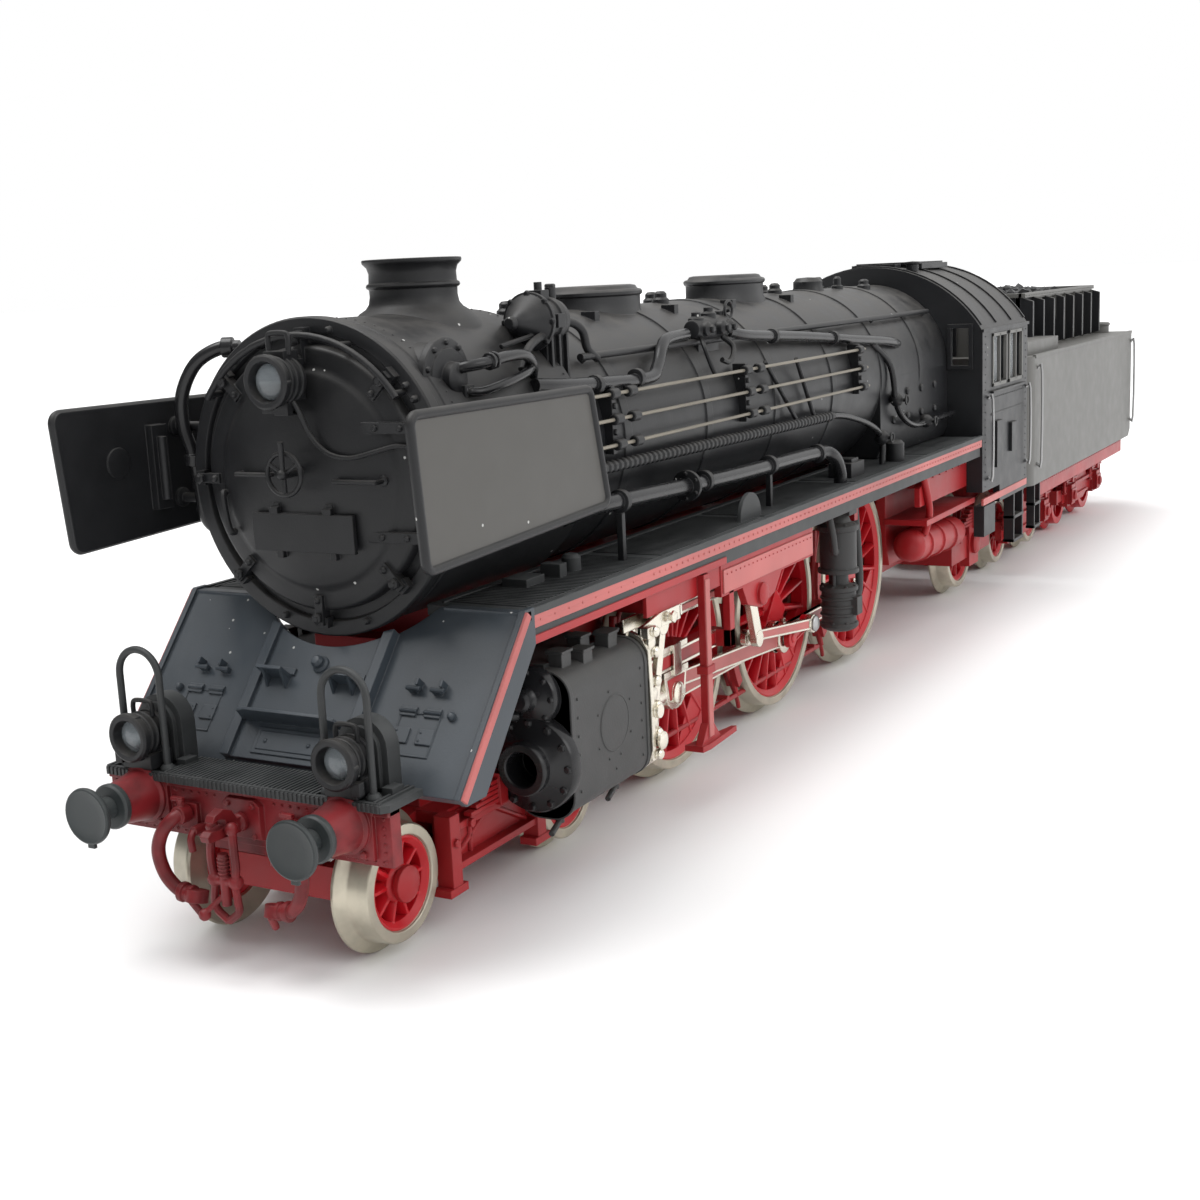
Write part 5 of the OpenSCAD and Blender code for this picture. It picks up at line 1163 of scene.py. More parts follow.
def build_cylinders():
    s = Shape()
    m = s.mark()
    # Casing in the grey that is painted sheen on black paint
    s.use(0).cross(round_outline((11.4, 6.0), (17.12, 18.9), 2.2, 7), CYL_BACK + 0.05, CYL_FRONT - 0.05)
    for x in (CYL_FRONT - 0.55, CYL_BACK + 0.02):
        s.cross(round_outline((11.3, 5.9), (17.22, 19.0), 2.3, 7), x, x + 0.5)
    s.box((CYL_BACK, 6.5, 12.2), (CYL_FRONT, 12.0, 18.4))
    s.box((CYL_BACK + 1.0, 8.0, 18.2), (CYL_FRONT - 1.0, 14.2, 19.2))
    # Inspection disc and rivets on the casing's side
    s.ring((-35.6, 17.12, 12.7), Y, 2.5, 0.1, 32, 6)
    s.lathe([(2.45, 0), (2.4, 0.08), (0, 0.1)], (-35.6, 17.1, 12.7), Y, 32)
    for x in (-29.3, -40.7):
        s.rivets((x, 17.12, 8.3), (x, 17.12, 16.4), 6, Y, 0.17, 0.12)
    for dx, dz in ((2.9, 1.4), (2.9, -1.6), (-2.9, 1.4), (-2.9, -1.6), (0.9, 3.0), (-0.9, -3.1), (0, -4.2),
                   (1.2, -3.0)):
        s.rivets((-35.6 + dx, 17.12, 12.7 + dz), (-35.6 + dx, 17.12, 12.7 + dz), 1, Y, 0.15, 0.1)
    # Lubricator boxes and relief valves on top
    for x, y, h in ((-30.6, 14.8, 1.3), (-33.4, 15.3, 0.9), (-35.6, 13.8, 1.5), (-38.6, 14.9, 1.2),
                    (-40.4, 14.0, 0.9)):
        s.box((x - 0.8, y - 0.7, 18.5), (x + 0.8, y + 0.7, 18.9 + h))
        s.box((x - 0.95, y - 0.85, 18.7 + h), (x + 0.95, y + 0.85, 18.95 + h))
    # Drain cocks below
    for x in (-30.0, -40.0):
        s.rod((x, 14.4, 6.2), (x, 14.4, 5.0), 0.4, 10)
        s.rod((x, 14.4, 5.2), (x + 2.2, 14.8, 4.7), 0.28, 8)
    # Covers: the lower one with its open guide tube, the upper one with a capped stub
    s.use(1).lathe([(4.25, -0.1), (4.25, 0.9), (4.1, 1.15), (3.2, 1.3), (2.9, 1.5), (2.45, 1.62),
                    (2.3, 1.8), (2.3, 2.65), (2.2, 2.78), (1.62, 2.78), (1.5, 2.65), (1.5, -0.1)],
                    (CYL_FRONT, CYL_Y, CYL_Z), X, 44, loop=True)
    s.bolts((CYL_FRONT + 1.1, CYL_Y, CYL_Z), X, 3.68, 12, 0.36, 0.35)
    s.lathe([(0, -2.2), (1.55, -2.2), (1.55, -0.1), (1.7, -0.1), (1.7, -2.4), (0, -2.4)],
            (CYL_FRONT, CYL_Y, CYL_Z), X, 24)
    s.lathe([(0, -0.1), (2.62, -0.1), (2.62, 0.75), (2.5, 0.95), (1.9, 1.1), (1.5, 1.3), (1.1, 1.4),
             (0.95, 1.6), (0.95, 2.3), (0.7, 2.55), (0, 2.6)], (CYL_FRONT, CYL_Y, VALVE_Z), X, 36)
    s.bolts((CYL_FRONT + 0.9, CYL_Y, VALVE_Z), X, 2.2, 8, 0.26, 0.3)
    s.tube([(CYL_FRONT + 1.2, 12.6, 15.2), (CYL_FRONT + 3.0, 11.6, 15.4), (CYL_FRONT + 4.6, 9.8, 15.6),
            (CYL_FRONT + 5.0, 7.2, 15.6)], 0.55, 10, 5)
    # Rear glands
    s.use(2).lathe([(0, 0), (2.1, 0), (2.1, -0.8), (1.5, -1.2), (1.4, -2.0), (0.9, -2.2), (0, -2.2)],
                   (CYL_BACK, CYL_Y, CYL_Z), X, 24)
    s.bolts((CYL_BACK - 0.8, CYL_Y, CYL_Z), -X, 1.75, 6, 0.22, 0.25)
    s.lathe([(0, 0), (1.45, 0), (1.45, -0.8), (1.0, -1.0), (1.0, -1.6), (0, -1.6)],
            (CYL_BACK, 13.5, VALVE_Z), X, 20)
    s.mirror(m)
    piece("cylinders", s, [CYL_SHEEN_GREY, GLOSS, NICKEL], "locomotive", ["cylinder_block"], 0.05)

    # Bright casting that frames the rear edge of each cylinder, with its lugs and pins
    n = Shape()
    m = n.mark()
    edge = [(15.4, 19.35), (16.6, 18.9), (17.3, 17.7), (17.45, 13.0), (17.45, 8.4), (17.0, 7.0),
            (16.1, 6.3), (15.9, 7.0), (16.6, 7.9), (16.75, 10.2), (16.2, 10.9), (16.2, 12.4), (16.85, 13.2),
            (16.8, 17.2), (16.2, 18.2), (15.2, 18.7)]
    n.cross(edge, -42.65, -42.05)
    for z, w in ((19.2, 0.5), (17.3, 0.42), (14.6, 0.38), (12.2, 0.45), (9.6, 0.5), (7.6, 0.4)):
        n.box((-43.9, 16.2, z - w), (-42.2, 17.3, z + w))
        n.lathe([(0.52, 0), (0.52, 0.35), (0.36, 0.5), (0, 0.52)], (-43.4, 17.2, z), Y, 14)
    for z in (18.3, 13.4, 10.9):
        n.lathe([(0.72, 0), (0.72, 0.3), (0.42, 0.45), (0, 0.46)], (-42.9, 17.0, z), Y, 16)
    n.rod((-43.6, 15.2, 8.9), (-43.6, 17.9, 8.9), 0.62, 18)
    n.lathe([(0.85, 0), (0.85, 0.3), (0.6, 0.42), (0, 0.42)], (-43.6, 17.5, 8.9), Y, 20)
    n.rod((-43.2, 17.0, 11.8), (-43.2, 17.8, 11.8), 0.66, 18)
    # Valve spindle guide: a bright box with forked end
    n.box((-50.4, 14.4, 19.0), (-42.4, 14.7, 20.3))
    n.box((-50.4, 16.2, 18.9), (-46.4, 16.55, 20.3))
    n.box((-50.8, 14.4, 19.2), (-50.2, 16.55, 20.2))
    n.slab([(-46.4, 20.3), (-42.2, 19.6), (-42.2, 19.0), (-46.4, 18.9)], (0, 16.55, 0), X, Z, 0, 0.35)
    n.rod((-48, 14.0, 19.6), (-48, 17.0, 19.6), 0.4, 12)
    n.bolt((-48, 16.9, 19.6), Y, 0.6, 0.35)
    n.mirror(m)
    piece("motion_casting", n, [NICKEL], "locomotive", (), 0.04)


def build_motion_details():
    s = Shape()
    m = s.mark()
    # Slide bar with bright edges, hung from the girder at its rear end
    s.use(0).box((-62, 13.35, 13.5), (-42.1, 14.7, 15.28))
    s.box((-63, 13.35, 13.5), (-61.9, 16.4, 15.28))
    s.box((-63, 15.6, 13.5), (-61.9, 16.4, 19.5))
    s.use(2).box((-61.8, 14.68, 15.0), (-43.0, 14.82, 15.28))
    s.box((-61.8, 14.68, 13.5), (-43.0, 14.82, 13.78))
    # Girder with its red face made paler as a painted highlight, and the bearing of the expansion link
    s.use(0).side([(-84.8, 19.0), (-75.6, 19.0), (-73.6, 17.0), (-70, 16.0), (-66.4, 17.0), (-65.2, 19.0),
                   (-60.0, 19.0), (-60.0, 22.3), (-84.8, 22.3)], 15.6, 16.4)
    s.use(1).side([(-84.4, 19.3), (-60.4, 19.3), (-60.4, 21.7), (-84.4, 21.7)], 16.38, 16.55)
    s.use(0).lathe([(1.2, 0), (1.2, 0.4), (0.8, 0.6), (0, 0.62)], (-70, 16.35, 17.5), Y, 20)
    s.bolts((-70, 16.7, 17.5), Y, 0.85, 4, 0.2, 0.2)
    s.rivets((-61.2, 16.55, 21.2), (-83.8, 16.55, 21.2), 22, Y, 0.12, 0.08)
    # Post in front of the girder with a sweeping foot
    s.box((-55.9, 16.3, 5.8), (-54.7, 17.05, 22.3))
    # Red strip on the post's face, made paler as a painted highlight
    s.use(1).box((-55.8, 17.0, 6.0), (-54.8, 17.15, 21.8))
    s.use(0).slab([(-53.0, 15.2), (-61.0, 16.6), (-61.2, 17.1), (-54.4, 17.4), (-53.0, 17.2)], (0, 0, 4.9),
                  X, Y, 0, 0.6)
    s.side([(-53.2, 5.4), (-57.6, 5.4), (-55.9, 7.4), (-54.7, 7.4)], 16.2, 17.0)
    s.box((-56.2, 16.1, 12.4), (-54.4, 17.3, 13.2))
    # Valance behind the post
    s.box((-60, 15.9, 20.2), (-44.0, 16.3, 22.3))
    s.mirror(m)
    piece("motion_plates", s, [RED, RED_HIGHLIGHT, NICKEL], "locomotive", ["slide_bars"], 0.04)

    # Brake shoes with hangers, sand pipes and spring buckles between the driving wheels
    b = Shape()
    m = b.mark()
    for x in DRIVERS:
        shoe = arc(x, DRIVER_Z, 12.9, -32, 14, 9) + arc(x, DRIVER_Z, 11.75, 14, -32, 9)
        b.use(0).side(shoe, 8.25, 9.85)
        top = polar((x, DRIVER_Z), 12.5, 16)
        mid = polar((x, DRIVER_Z), 12.9, -9)
        b.rod((top[0] - 0.1, 9.1, 18.6), (mid[0] + 0.1, 9.1, mid[1]), 0.42, 8)
        b.rod((mid[0], 7.8, mid[1]), (mid[0], 10.3, mid[1]), 0.5, 10)
        low = polar((x, DRIVER_Z), 13.0, -38)
        b.rod((mid[0], 9.1, mid[1]), (low[0], 9.1, low[1]), 0.36, 8)
        b.tube([(x + 10.2, 10.2, 22.0), (x + 11.8, 9.4, 17.5), (x + 12.9, 8.9, 9.0), (x + 9.6, 8.8, 3.2),
                (x + 8.8, 8.7, 1.7)], 0.26, 8, 5)
        b.box((x - 3.2, 6.3, 18.2), (x + 3.2, 7.3, 19.0))
        b.box((x - 2.2, 6.3, 17.3), (x + 2.2, 7.3, 18.3))
        b.box((x - 0.6, 6.3, 16.2), (x + 0.6, 7.5, 20.2))
    b.rod((-48.8, 9.1, 3.6), (-104, 9.1, 3.6), 0.32, 8)
    for x in (-53, -79.6, -106):
        b.rod((x, 6.2, 14.2), (x, 8.4, 14.2), 0.7, 12)
        b.bolts((x, 6.4, 19.8), Y, 0.8, 4, 0.2, 0.2)
    b.mirror(m)
    for x in (-49.2, -75.7, -102.2):
        b.rod((x - 0.3, -9.4, 3.8), (x - 0.3, 9.4, 3.8), 0.4, 10)
    piece("brake_gear", b, [RED], "locomotive", (), 0.03)


def build_crossheads():
    for name, right_side in (("left", False), ("right", True)):
        lo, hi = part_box("crosshead_" + name)
        x, rod_end = (lo.x - FRONT_X) / MM + 2.6, (hi.x - FRONT_X) / MM
        s = Shape()
        m = s.mark()
        # Slippers above and below the bar, joined by an outer cheek
        s.use(0).box((x - 2.6, 12.9, 15.32), (x + 2.6, 14.9, 15.9))
        s.box((x - 2.6, 12.9, 12.85), (x + 2.6, 14.9, 13.45))
        s.box((x - 0.8, 14.88, 12.85), (x + 0.8, 15.1, 15.9))
        s.side([(x - 2.4, 12.9), (x + 2.4, 12.9), (x + 1.9, 10.2), (x + 0.9, 9.5), (x - 0.9, 9.5),
                (x - 1.9, 10.2)], 12.9, 14.8)
        s.use(1).side([(x - 1.9, 12.6), (x + 1.9, 12.6), (x + 1.4, 10.5), (x - 1.4, 10.5)], 14.78, 14.86)
        s.use(0).lathe([(1.1, 14.7), (1.1, 15.15), (0.9, 15.25), (0, 15.25)], (x, 0, 11), Y, 22)
        s.bolts((x, 15.2, 11), Y, 0.7, 3, 0.14, 0.12)
        s.lathe([(1.1, x + 1.4), (1.1, x + 3.4), (0.7, x + 3.8)], (0, 13.7, 11), X, 16)
        s.rod((x, 13.7, 11), (rod_end, 13.7, 11), 0.6, 14)
        if right_side:
            s.flip(m)
        piece("crosshead_shape_" + name, s, [NICKEL, RED], "crosshead_" + name, ["crosshead_" + name],
              0.03)

# ------------------------------------------------- pipes and side fittings

def build_pipes():
    s = Shape()
    m = s.mark()
    # Three bright control rods in black sleeve clamps
    for z in (35.9, 38.2, 40.5):
        y = max(12.7, math.sqrt(max(0.0, 13.2 ** 2 - (z - BOILER_Z) ** 2)))
        s.use(3).rod((-36, y, z), (-113, y, z), 0.18, 10)
        s.use(0)
        for x in (-46, -49.4, -76, -79.4, -111):
            s.lathe([(0.42, -0.7), (0.52, -0.6), (0.52, 0.6), (0.42, 0.7)], (x, y, z), X, 12)
    for x in (-46, -76, -111):
        s.box((x - 0.35, 11.2, 35.0), (x + 0.35, 12.7, 41.2))
        for z in (37.0, 39.4):
            s.bolt((x, 12.7, z), Y, 0.3, 0.3)
    # Beaded pipe below them
    s.use(0).rod((-38, 12.9, 34.1), (-101, 12.9, 33.2), 0.42, 12)
    for k in range(63):
        s.lathe([(0.42, -0.36), (0.6, -0.2), (0.6, 0.2), (0.42, 0.36)],
                (-39 - k * 0.98, 12.9, 34.1 - k * 0.014), X, 10)
    # Fat delivery pipe over the board, with a flanged joint and its clips
    s.use(2).tube([(-36, 12.6, 30.6), (-40, 13.4, 31.0), (-48, 13.7, 30.8), (-70, 13.7, 30.0),
                   (-92, 13.7, 29.6), (-96.5, 14.4, 29.0), (-98.4, 14.6, 26.8), (-98.5, 14.6, 24.0)], 0.8,
                   14, 6)
    s.use(0)
    for x in (-44.6, -62.4, -79.0, -93.4):
        z = 30.9 + (-44 - x) * -0.028
        s.lathe([(0.8, -0.42), (1.1, -0.36), (1.1, 0.36), (0.8, 0.42)], (x, 13.7, z), X, 16)
    s.lathe([(0.9, -0.3), (1.55, -0.25), (1.55, 0.25), (0.9, 0.3)], (-58.6, 13.7, 30.4), X, 20)
    s.bolts((-58.35, 13.7, 30.4), X, 1.25, 6, 0.2, 0.22)
    for x in (-44.6, -79):
        s.box((x - 0.3, 13.4, 25.3), (x + 0.3, 14.0, 29.8))
    # Slanting stays between the clamps, and the pipe that drops to the board
    s.rod((-82, 12.3, 41.0), (-90, 12.7, 33.6), 0.26, 8)
    s.rod((-95.5, 12.6, 33.6), (-91, 12.3, 40.8), 0.26, 8)
    s.use(2).tube([(-100.5, 12.8, 33.3), (-106, 13.0, 32.6), (-113, 13.4, 30.8), (-116.6, 13.6, 28.6),
                   (-116.5, 13.6, 25.2)], 0.4, 10, 6)
    # Injector pipes near the firebox
    s.use(2)
    s.tube([(-120, 11.0, 41.0), (-124, 12.3, 37.6), (-125, 12.9, 32.0), (-130, 13.3, 29.2),
            (-139, 13.3, 29.0), (-149, 13.2, 29.0)], 0.42, 10, 6)
    s.use(0)
    for x, y, z in ((-116.5, 13.6, 28.9), (-125, 12.8, 33.0), (-136, 13.3, 29.1)):
        s.ball((x, y, z), 0.95, 12)
        s.rod((x, y, z), (x, y + 1.4, z), 0.26, 8)
        s.ring((x, y + 1.4, z), Y, 0.6, 0.13, 14, 6)
    # Valve boxes and a tool box on the board
    s.box((-107, 11.6, 25.3), (-102.4, 14.6, 27.2))
    s.box((-103.6, 12.2, 27.1), (-106.0, 14.2, 27.6))
    s.lathe([(1.2, 25.3), (1.2, 27.8), (0.8, 28.2), (0, 28.2)], (-120, 14.2, 0), Z, 18)
    s.mirror(m)
    # Left side only: steam pipe from behind the deflector up to the valve cluster, then rearwards
    s.use(2).tube([(-34.5, 11.4, 42.2), (-38, 11.9, 41.9), (-46, 12.0, 41.5), (-54.5, 12.0, 41.3),
                   (-57.2, 11.6, 42.2), (-59.6, 10.9, 43.8), (-62, 10.4, 44.6), (-67, 10.0, 44.8)], 0.62,
                   14, 6)
    s.tube([(-77, 10.2, 44.6), (-82, 10.6, 43.9), (-96.4, 10.8, 43.0), (-112, 11.3, 41.8),
            (-124, 11.7, 40.9), (-128, 11.6, 40.4), (-130, 11.2, 40.2)], 0.6, 14, 6)
    s.use(0)
    for x in (-44, -52):
        s.lathe([(0.62, -0.4), (0.9, -0.35), (0.9, 0.35), (0.62, 0.4)], (x, 12.0, 41.5), X, 14)
    for x, y, z in ((-88, 10.7, 43.5), (-106, 11.1, 42.3)):
        s.lathe([(0.6, -0.4), (0.85, -0.35), (0.85, 0.35), (0.6, 0.4)], (x, y, z), X, 14)
    # Valve cluster: body, three bonnets, hand wheel and the curved handle under it
    s.lathe([(0, -4.6), (0.9, -4.4), (1.25, -3.2), (1.25, 2.8), (0.9, 4.0), (0, 4.2)], (-72.6, 9.9, 45.2),
            X, 22)
    for x, h in ((-69.8, 1.7), (-72.8, 2.1), (-75.6, 1.6)):
        s.lathe([(0.85, 0.7), (0.85, h - 0.6), (0.5, h - 0.4), (0.5, h), (0, h + 0.15)], (x, 9.9, 45.2), Z,
                16)
        s.lathe([(0.75, 0.7), (0.75, h - 0.3), (0.42, h), (0, h)], (x, 9.9, 45.2), Y, 14)
        s.bolt((x, 9.9 + h, 45.2), Y, 0.45, 0.4)
    s.ring((-76.4, 10.6, 46.9), Y, 0.95, 0.16, 18, 6)
    s.rod((-76.4, 9.4, 46.6), (-76.4, 10.8, 46.9), 0.22, 8)
    s.box((-75.4, 7.4, 42.6), (-70.4, 9.8, 45.0))
    s.tube([(-74.6, 10.6, 44.2), (-75.0, 11.6, 43.2), (-74.2, 12.0, 42.2), (-72.8, 12.1, 41.6),
            (-71.4, 12.0, 41.9)], 0.3, 8, 5)
    s.tube([(-69.6, 10.4, 44.6), (-68.6, 11.4, 43.2), (-68.6, 12.0, 41.6), (-68.9, 12.4, 40.4)], 0.26, 8, 5)
    piece("boiler_fittings", s, [SMOKE, BLACK, GLOSS, ROD_PALE], "locomotive", ["boiler_pipes"],
          0.03)

    # Pumps: cylinders with flanges, covers, rods and pipe stubs, in the cylinders' grey that is painted
    # sheen on black paint
    p = Shape()
    m = p.mark()
    c = (PUMP_X, 14.2, 0)
    p.lathe([(0, 7.2), (1.4, 7.3), (2.1, 7.6), (2.35, 7.9), (2.35, 8.3), (2.1, 8.4), (2.1, 12.2),
             (2.35, 12.3), (2.35, 12.8), (1.2, 13.1), (1.2, 14.3), (2.5, 14.5), (2.5, 15.0), (2.25, 15.1),
             (2.25, 19.6), (2.5, 19.7), (2.5, 20.3), (1.6, 20.7), (1.2, 21.6), (0.8, 22.3), (0, 22.3)], c,
             Z, 30)
    for z in (8.3, 12.8, 15.0, 20.3):
        p.bolts((PUMP_X, 14.2, z), Z, 2.1, 8, 0.22, 0.22)
    for z in (9.2, 10.2, 11.2):
        p.lathe([(2.1, z), (2.3, z + 0.1), (2.3, z + 0.3), (2.1, z + 0.4)], c, Z, 28)
    for x in (-96.9, -100.1):
        p.rod((x, 14.2, 12.6), (x, 14.2, 14.8), 0.24, 8)
    p.tube([(-96.6, 14.6, 17.4), (-95.2, 15.0, 17.6), (-94.6, 15.0, 19.8), (-94.6, 14.2, 23.6)], 0.45, 10,
           5)
    p.tube([(-100.4, 14.8, 10.6), (-102.2, 15.2, 10.8), (-103.0, 15.2, 14.0), (-103.0, 14.6, 23.4)], 0.5,
           10, 5)
    p.box((-99.8, 12.0, 21.6), (-97.2, 16.2, 24.3))
    p.box((-97.6, 16.0, 9.4), (-99.4, 16.9, 11.6))
    p.mirror(m)
    piece("pumps", p, [CYL_SHEEN_GREY], "locomotive", ["steam_pumps"], 0.04)


# ------------------------------------------------------- cab and ashpan

CAB_END, CAB_FRONT, CAB_Y = -176.0, -150.5, 17.2


def build_cab():
    s = Shape()
    # Roof bands, rain strips and the raised ventilator
    for x in (-151.6, -159.5, -168, -175.6):
        pts = [(ROOF_R * math.cos(math.radians(t)), ROOF_Z + ROOF_R * math.sin(math.radians(t)))
               for t in range(34, 147, 4)]
        outer = [(ROOF_BAND_R / ROOF_R * a, ROOF_Z + (b - ROOF_Z) * ROOF_BAND_R / ROOF_R) for a, b in pts]
        s.cross(outer + pts[::-1], x - 0.25, x + 0.25)
    m = s.mark()
    s.box((CAB_END - 0.2, CAB_Y - 0.2, 40.5), (CAB_FRONT + 0.2, CAB_Y + 0.25, 40.95))
    s.mirror(m)
    s.box((-171.5, -5.6, 49.9), (-158.5, 5.6, 50.75))
    s.box((-172.2, -4.6, 50.6), (-157.8, 4.6, 51.0))
    s.lathe([(0.9, 49.8), (0.9, 50.8), (1.2, 50.9), (1.2, 51.2), (0, 51.3)], (-154.6, 5.4, -0.2), Z, 16)
    s.box((-156.4, -3.4, 50.0), (-153.6, 3.0, 50.8))
    # Window frames, sill shades and handrails on the sides
    m = s.mark()
    # The frames reuse the tender's grey, which is painted sheen on black paint
    for x0, x1 in ((-163.6, -155.6), (-172.7, -164.7)):
        mid = (x0 + x1) / 2
        for a, b in (((x0, 32.2), (x1, 32.75)), ((x0, 39.6), (x1, 40.1)), ((x0, 32.2), (x0 + 0.5, 40.1)),
                     ((x1 - 0.5, 32.2), (x1, 40.1)), ((mid - 0.2, 32.4), (mid + 0.2, 40.0))):
            s.use(1).box((a[0], CAB_Y - 0.35, a[1]), (b[0], CAB_Y + 0.16, b[1]))
    s.use(0).box((-173.4, CAB_Y - 0.1, 31.3), (-154.8, CAB_Y + 0.5, 31.65))
    s.box((-173.2, CAB_Y, 28.0), (-155.0, CAB_Y + 0.1, 28.3))
    s.rivets((-152.0, CAB_Y, 16.6), (-152.0, CAB_Y, 39.8), 22, Y, 0.13, 0.09)
    s.rivets((-174.9, CAB_Y, 16.6), (-174.9, CAB_Y, 39.8), 22, Y, 0.13, 0.09)
    s.rivets((-153.4, CAB_Y, 30.6), (-173.6, CAB_Y, 30.6), 20, Y, 0.13, 0.09)
    for x in (-153.6, -175.4):
        s.use(2).tube([(x, CAB_Y, 19.0), (x, CAB_Y + 0.7, 19.2), (x, CAB_Y + 0.7, 30.4), (x, CAB_Y, 30.6)],
                      0.2, 8, 3)
    # Sand and tool boxes on the lower panel
    s.use(0).box((-160.0, CAB_Y - 0.2, 20.0), (-157.0, CAB_Y + 0.45, 27.0))
    s.box((-168.4, CAB_Y - 0.2, 21.5), (-165.4, CAB_Y + 0.45, 26.0))
    # Red lining board under the cab, made paler as a painted highlight, steps and their side plates
    s.use(3).box((CAB_END + 0.3, CAB_Y - 0.25, 15.0), (CAB_FRONT - 0.3, CAB_Y + 0.12, 16.0))
    s.use(0).box((-175.2, 15.3, 6.4), (-174.6, 16.9, 15.0))
    s.box((-170.0, 15.3, 6.4), (-169.4, 16.9, 15.0))
    for z in (6.4, 10.2):
        s.box((-175.2, 15.2, z), (-169.4, 17.0, z + 0.5))
    s.box((-158.6, 15.3, 10.0), (-152.6, 16.9, 14.6))
    s.mirror(m)
    # Spectacle plate rims at the front
    m = s.mark()
    s.cross([(12.0, 35.2), (15.8, 35.2), (15.8, 41.8), (12.0, 41.8), (12.0, 41.2), (15.2, 41.2),
             (15.2, 35.8), (12.6, 35.8), (12.6, 41.2), (12.0, 41.2)], -150.5, -150.2)
    s.mirror(m)
    # Backhead: doors, gauges and pipes seen through the windows
    s.lathe([(0, -151.8), (9.5, -151.8), (9.5, -154.6), (8.8, -155.2), (0, -155.4)], (0, 0, 33.5), X, 40)
    s.use(2)
    for y, z, r in ((-4, 41, 1.1), (0, 42, 1.4), (4, 41, 1.1), (6.5, 38.5, 0.9), (-6.5, 38.5, 0.9)):
        s.lathe([(r, -155.2), (r, -155.9), (r - 0.2, -156), (0, -156)], (0, y, z), X, 20)
    for y in (-6, -2.5, 2.5, 6):
        s.tube([(-155.4, y, 40), (-156.4, y, 38), (-156.2, y * 0.8, 35), (-155.4, y * 0.7, 32)], 0.28, 8, 4)
    piece("cab_details", s, [BLACK, TENDER_SHEEN_GREY, STEEL, RED_HIGHLIGHT], "locomotive", (), 0.04)

    # Ashpan, spring beams and rear pipes under the firebox
    a = Shape()
    m = a.mark()
    a.side([(-130, 9.4), (-148.4, 9.4), (-151.5, 14.0), (-151.5, 20.4), (-128.5, 20.4), (-128.5, 13.5)],
           8.4, 9.8)
    a.rod((-129.6, 12.9, 12.4), (-148.5, 12.9, 11.4), 2.3, 20)
    a.lathe([(2.3, 0), (2.1, 0.9), (1.4, 1.6), (0, 1.9)], (-148.5, 12.9, 11.4), -X, 20)
    a.lathe([(2.3, 0), (2.1, 0.8), (1.4, 1.4), (0, 1.6)], (-129.6, 12.9, 12.4), X, 20)
    for x in (-133, -138.5, -144.4):
        a.lathe([(2.3, -0.4), (2.55, -0.3), (2.55, 0.3), (2.3, 0.4)], (x, 12.9, 12.4 + (x + 129.6) * 0.053),
                X, 20)
    a.tube([(-127.8, 15.0, 23.6), (-129.6, 15.2, 21.0), (-131.4, 15.2, 17.0), (-131.0, 14.6, 13.8)], 0.5,
           10, 5)
    a.box((-151.6, 9.6, 15.4), (-128.4, 15.8, 16.2))
    a.side([(-128.4, 20.6), (-133.0, 22.8), (-151.8, 22.8), (-151.8, 18.0), (-128.4, 18.0)], 14.0, 14.8)
    for k in range(7):
        a.bolt((-131 - k * 3.1, 14.8, 21.6), Y, 0.26, 0.2)
    a.mirror(m)
    piece("ashpan", a, [RED], "locomotive", (), 0.05)

    t = Shape()
    m = t.mark()
    t.lathe([(1.7, 11.9), (1.7, 12.7), (1.3, 13.0), (0, 13.0)], (TRAIL_X, 0, 7.2), Y, 22)
    t.bolts((TRAIL_X, 12.7, 7.2), Y, 1.35, 4, 0.22, 0.22, math.pi / 4)
    for k in range(5):
        h = 6.2 - k * 1.05
        t.box((TRAIL_X - h, 11.2, 10.2 + k * 0.5), (TRAIL_X + h, 12.2, 10.62 + k * 0.5))
    t.box((TRAIL_X - 0.7, 11.0, 9.6), (TRAIL_X + 0.7, 12.4, 13.0))
    for d in (-6.0, 6.0):
        t.rod((TRAIL_X + d, 11.7, 8.0), (TRAIL_X + d, 11.7, 10.8), 0.32, 8)
    t.mirror(m)
    piece("truck_springs", t, [RED], "trailing_truck", (), 0.04)


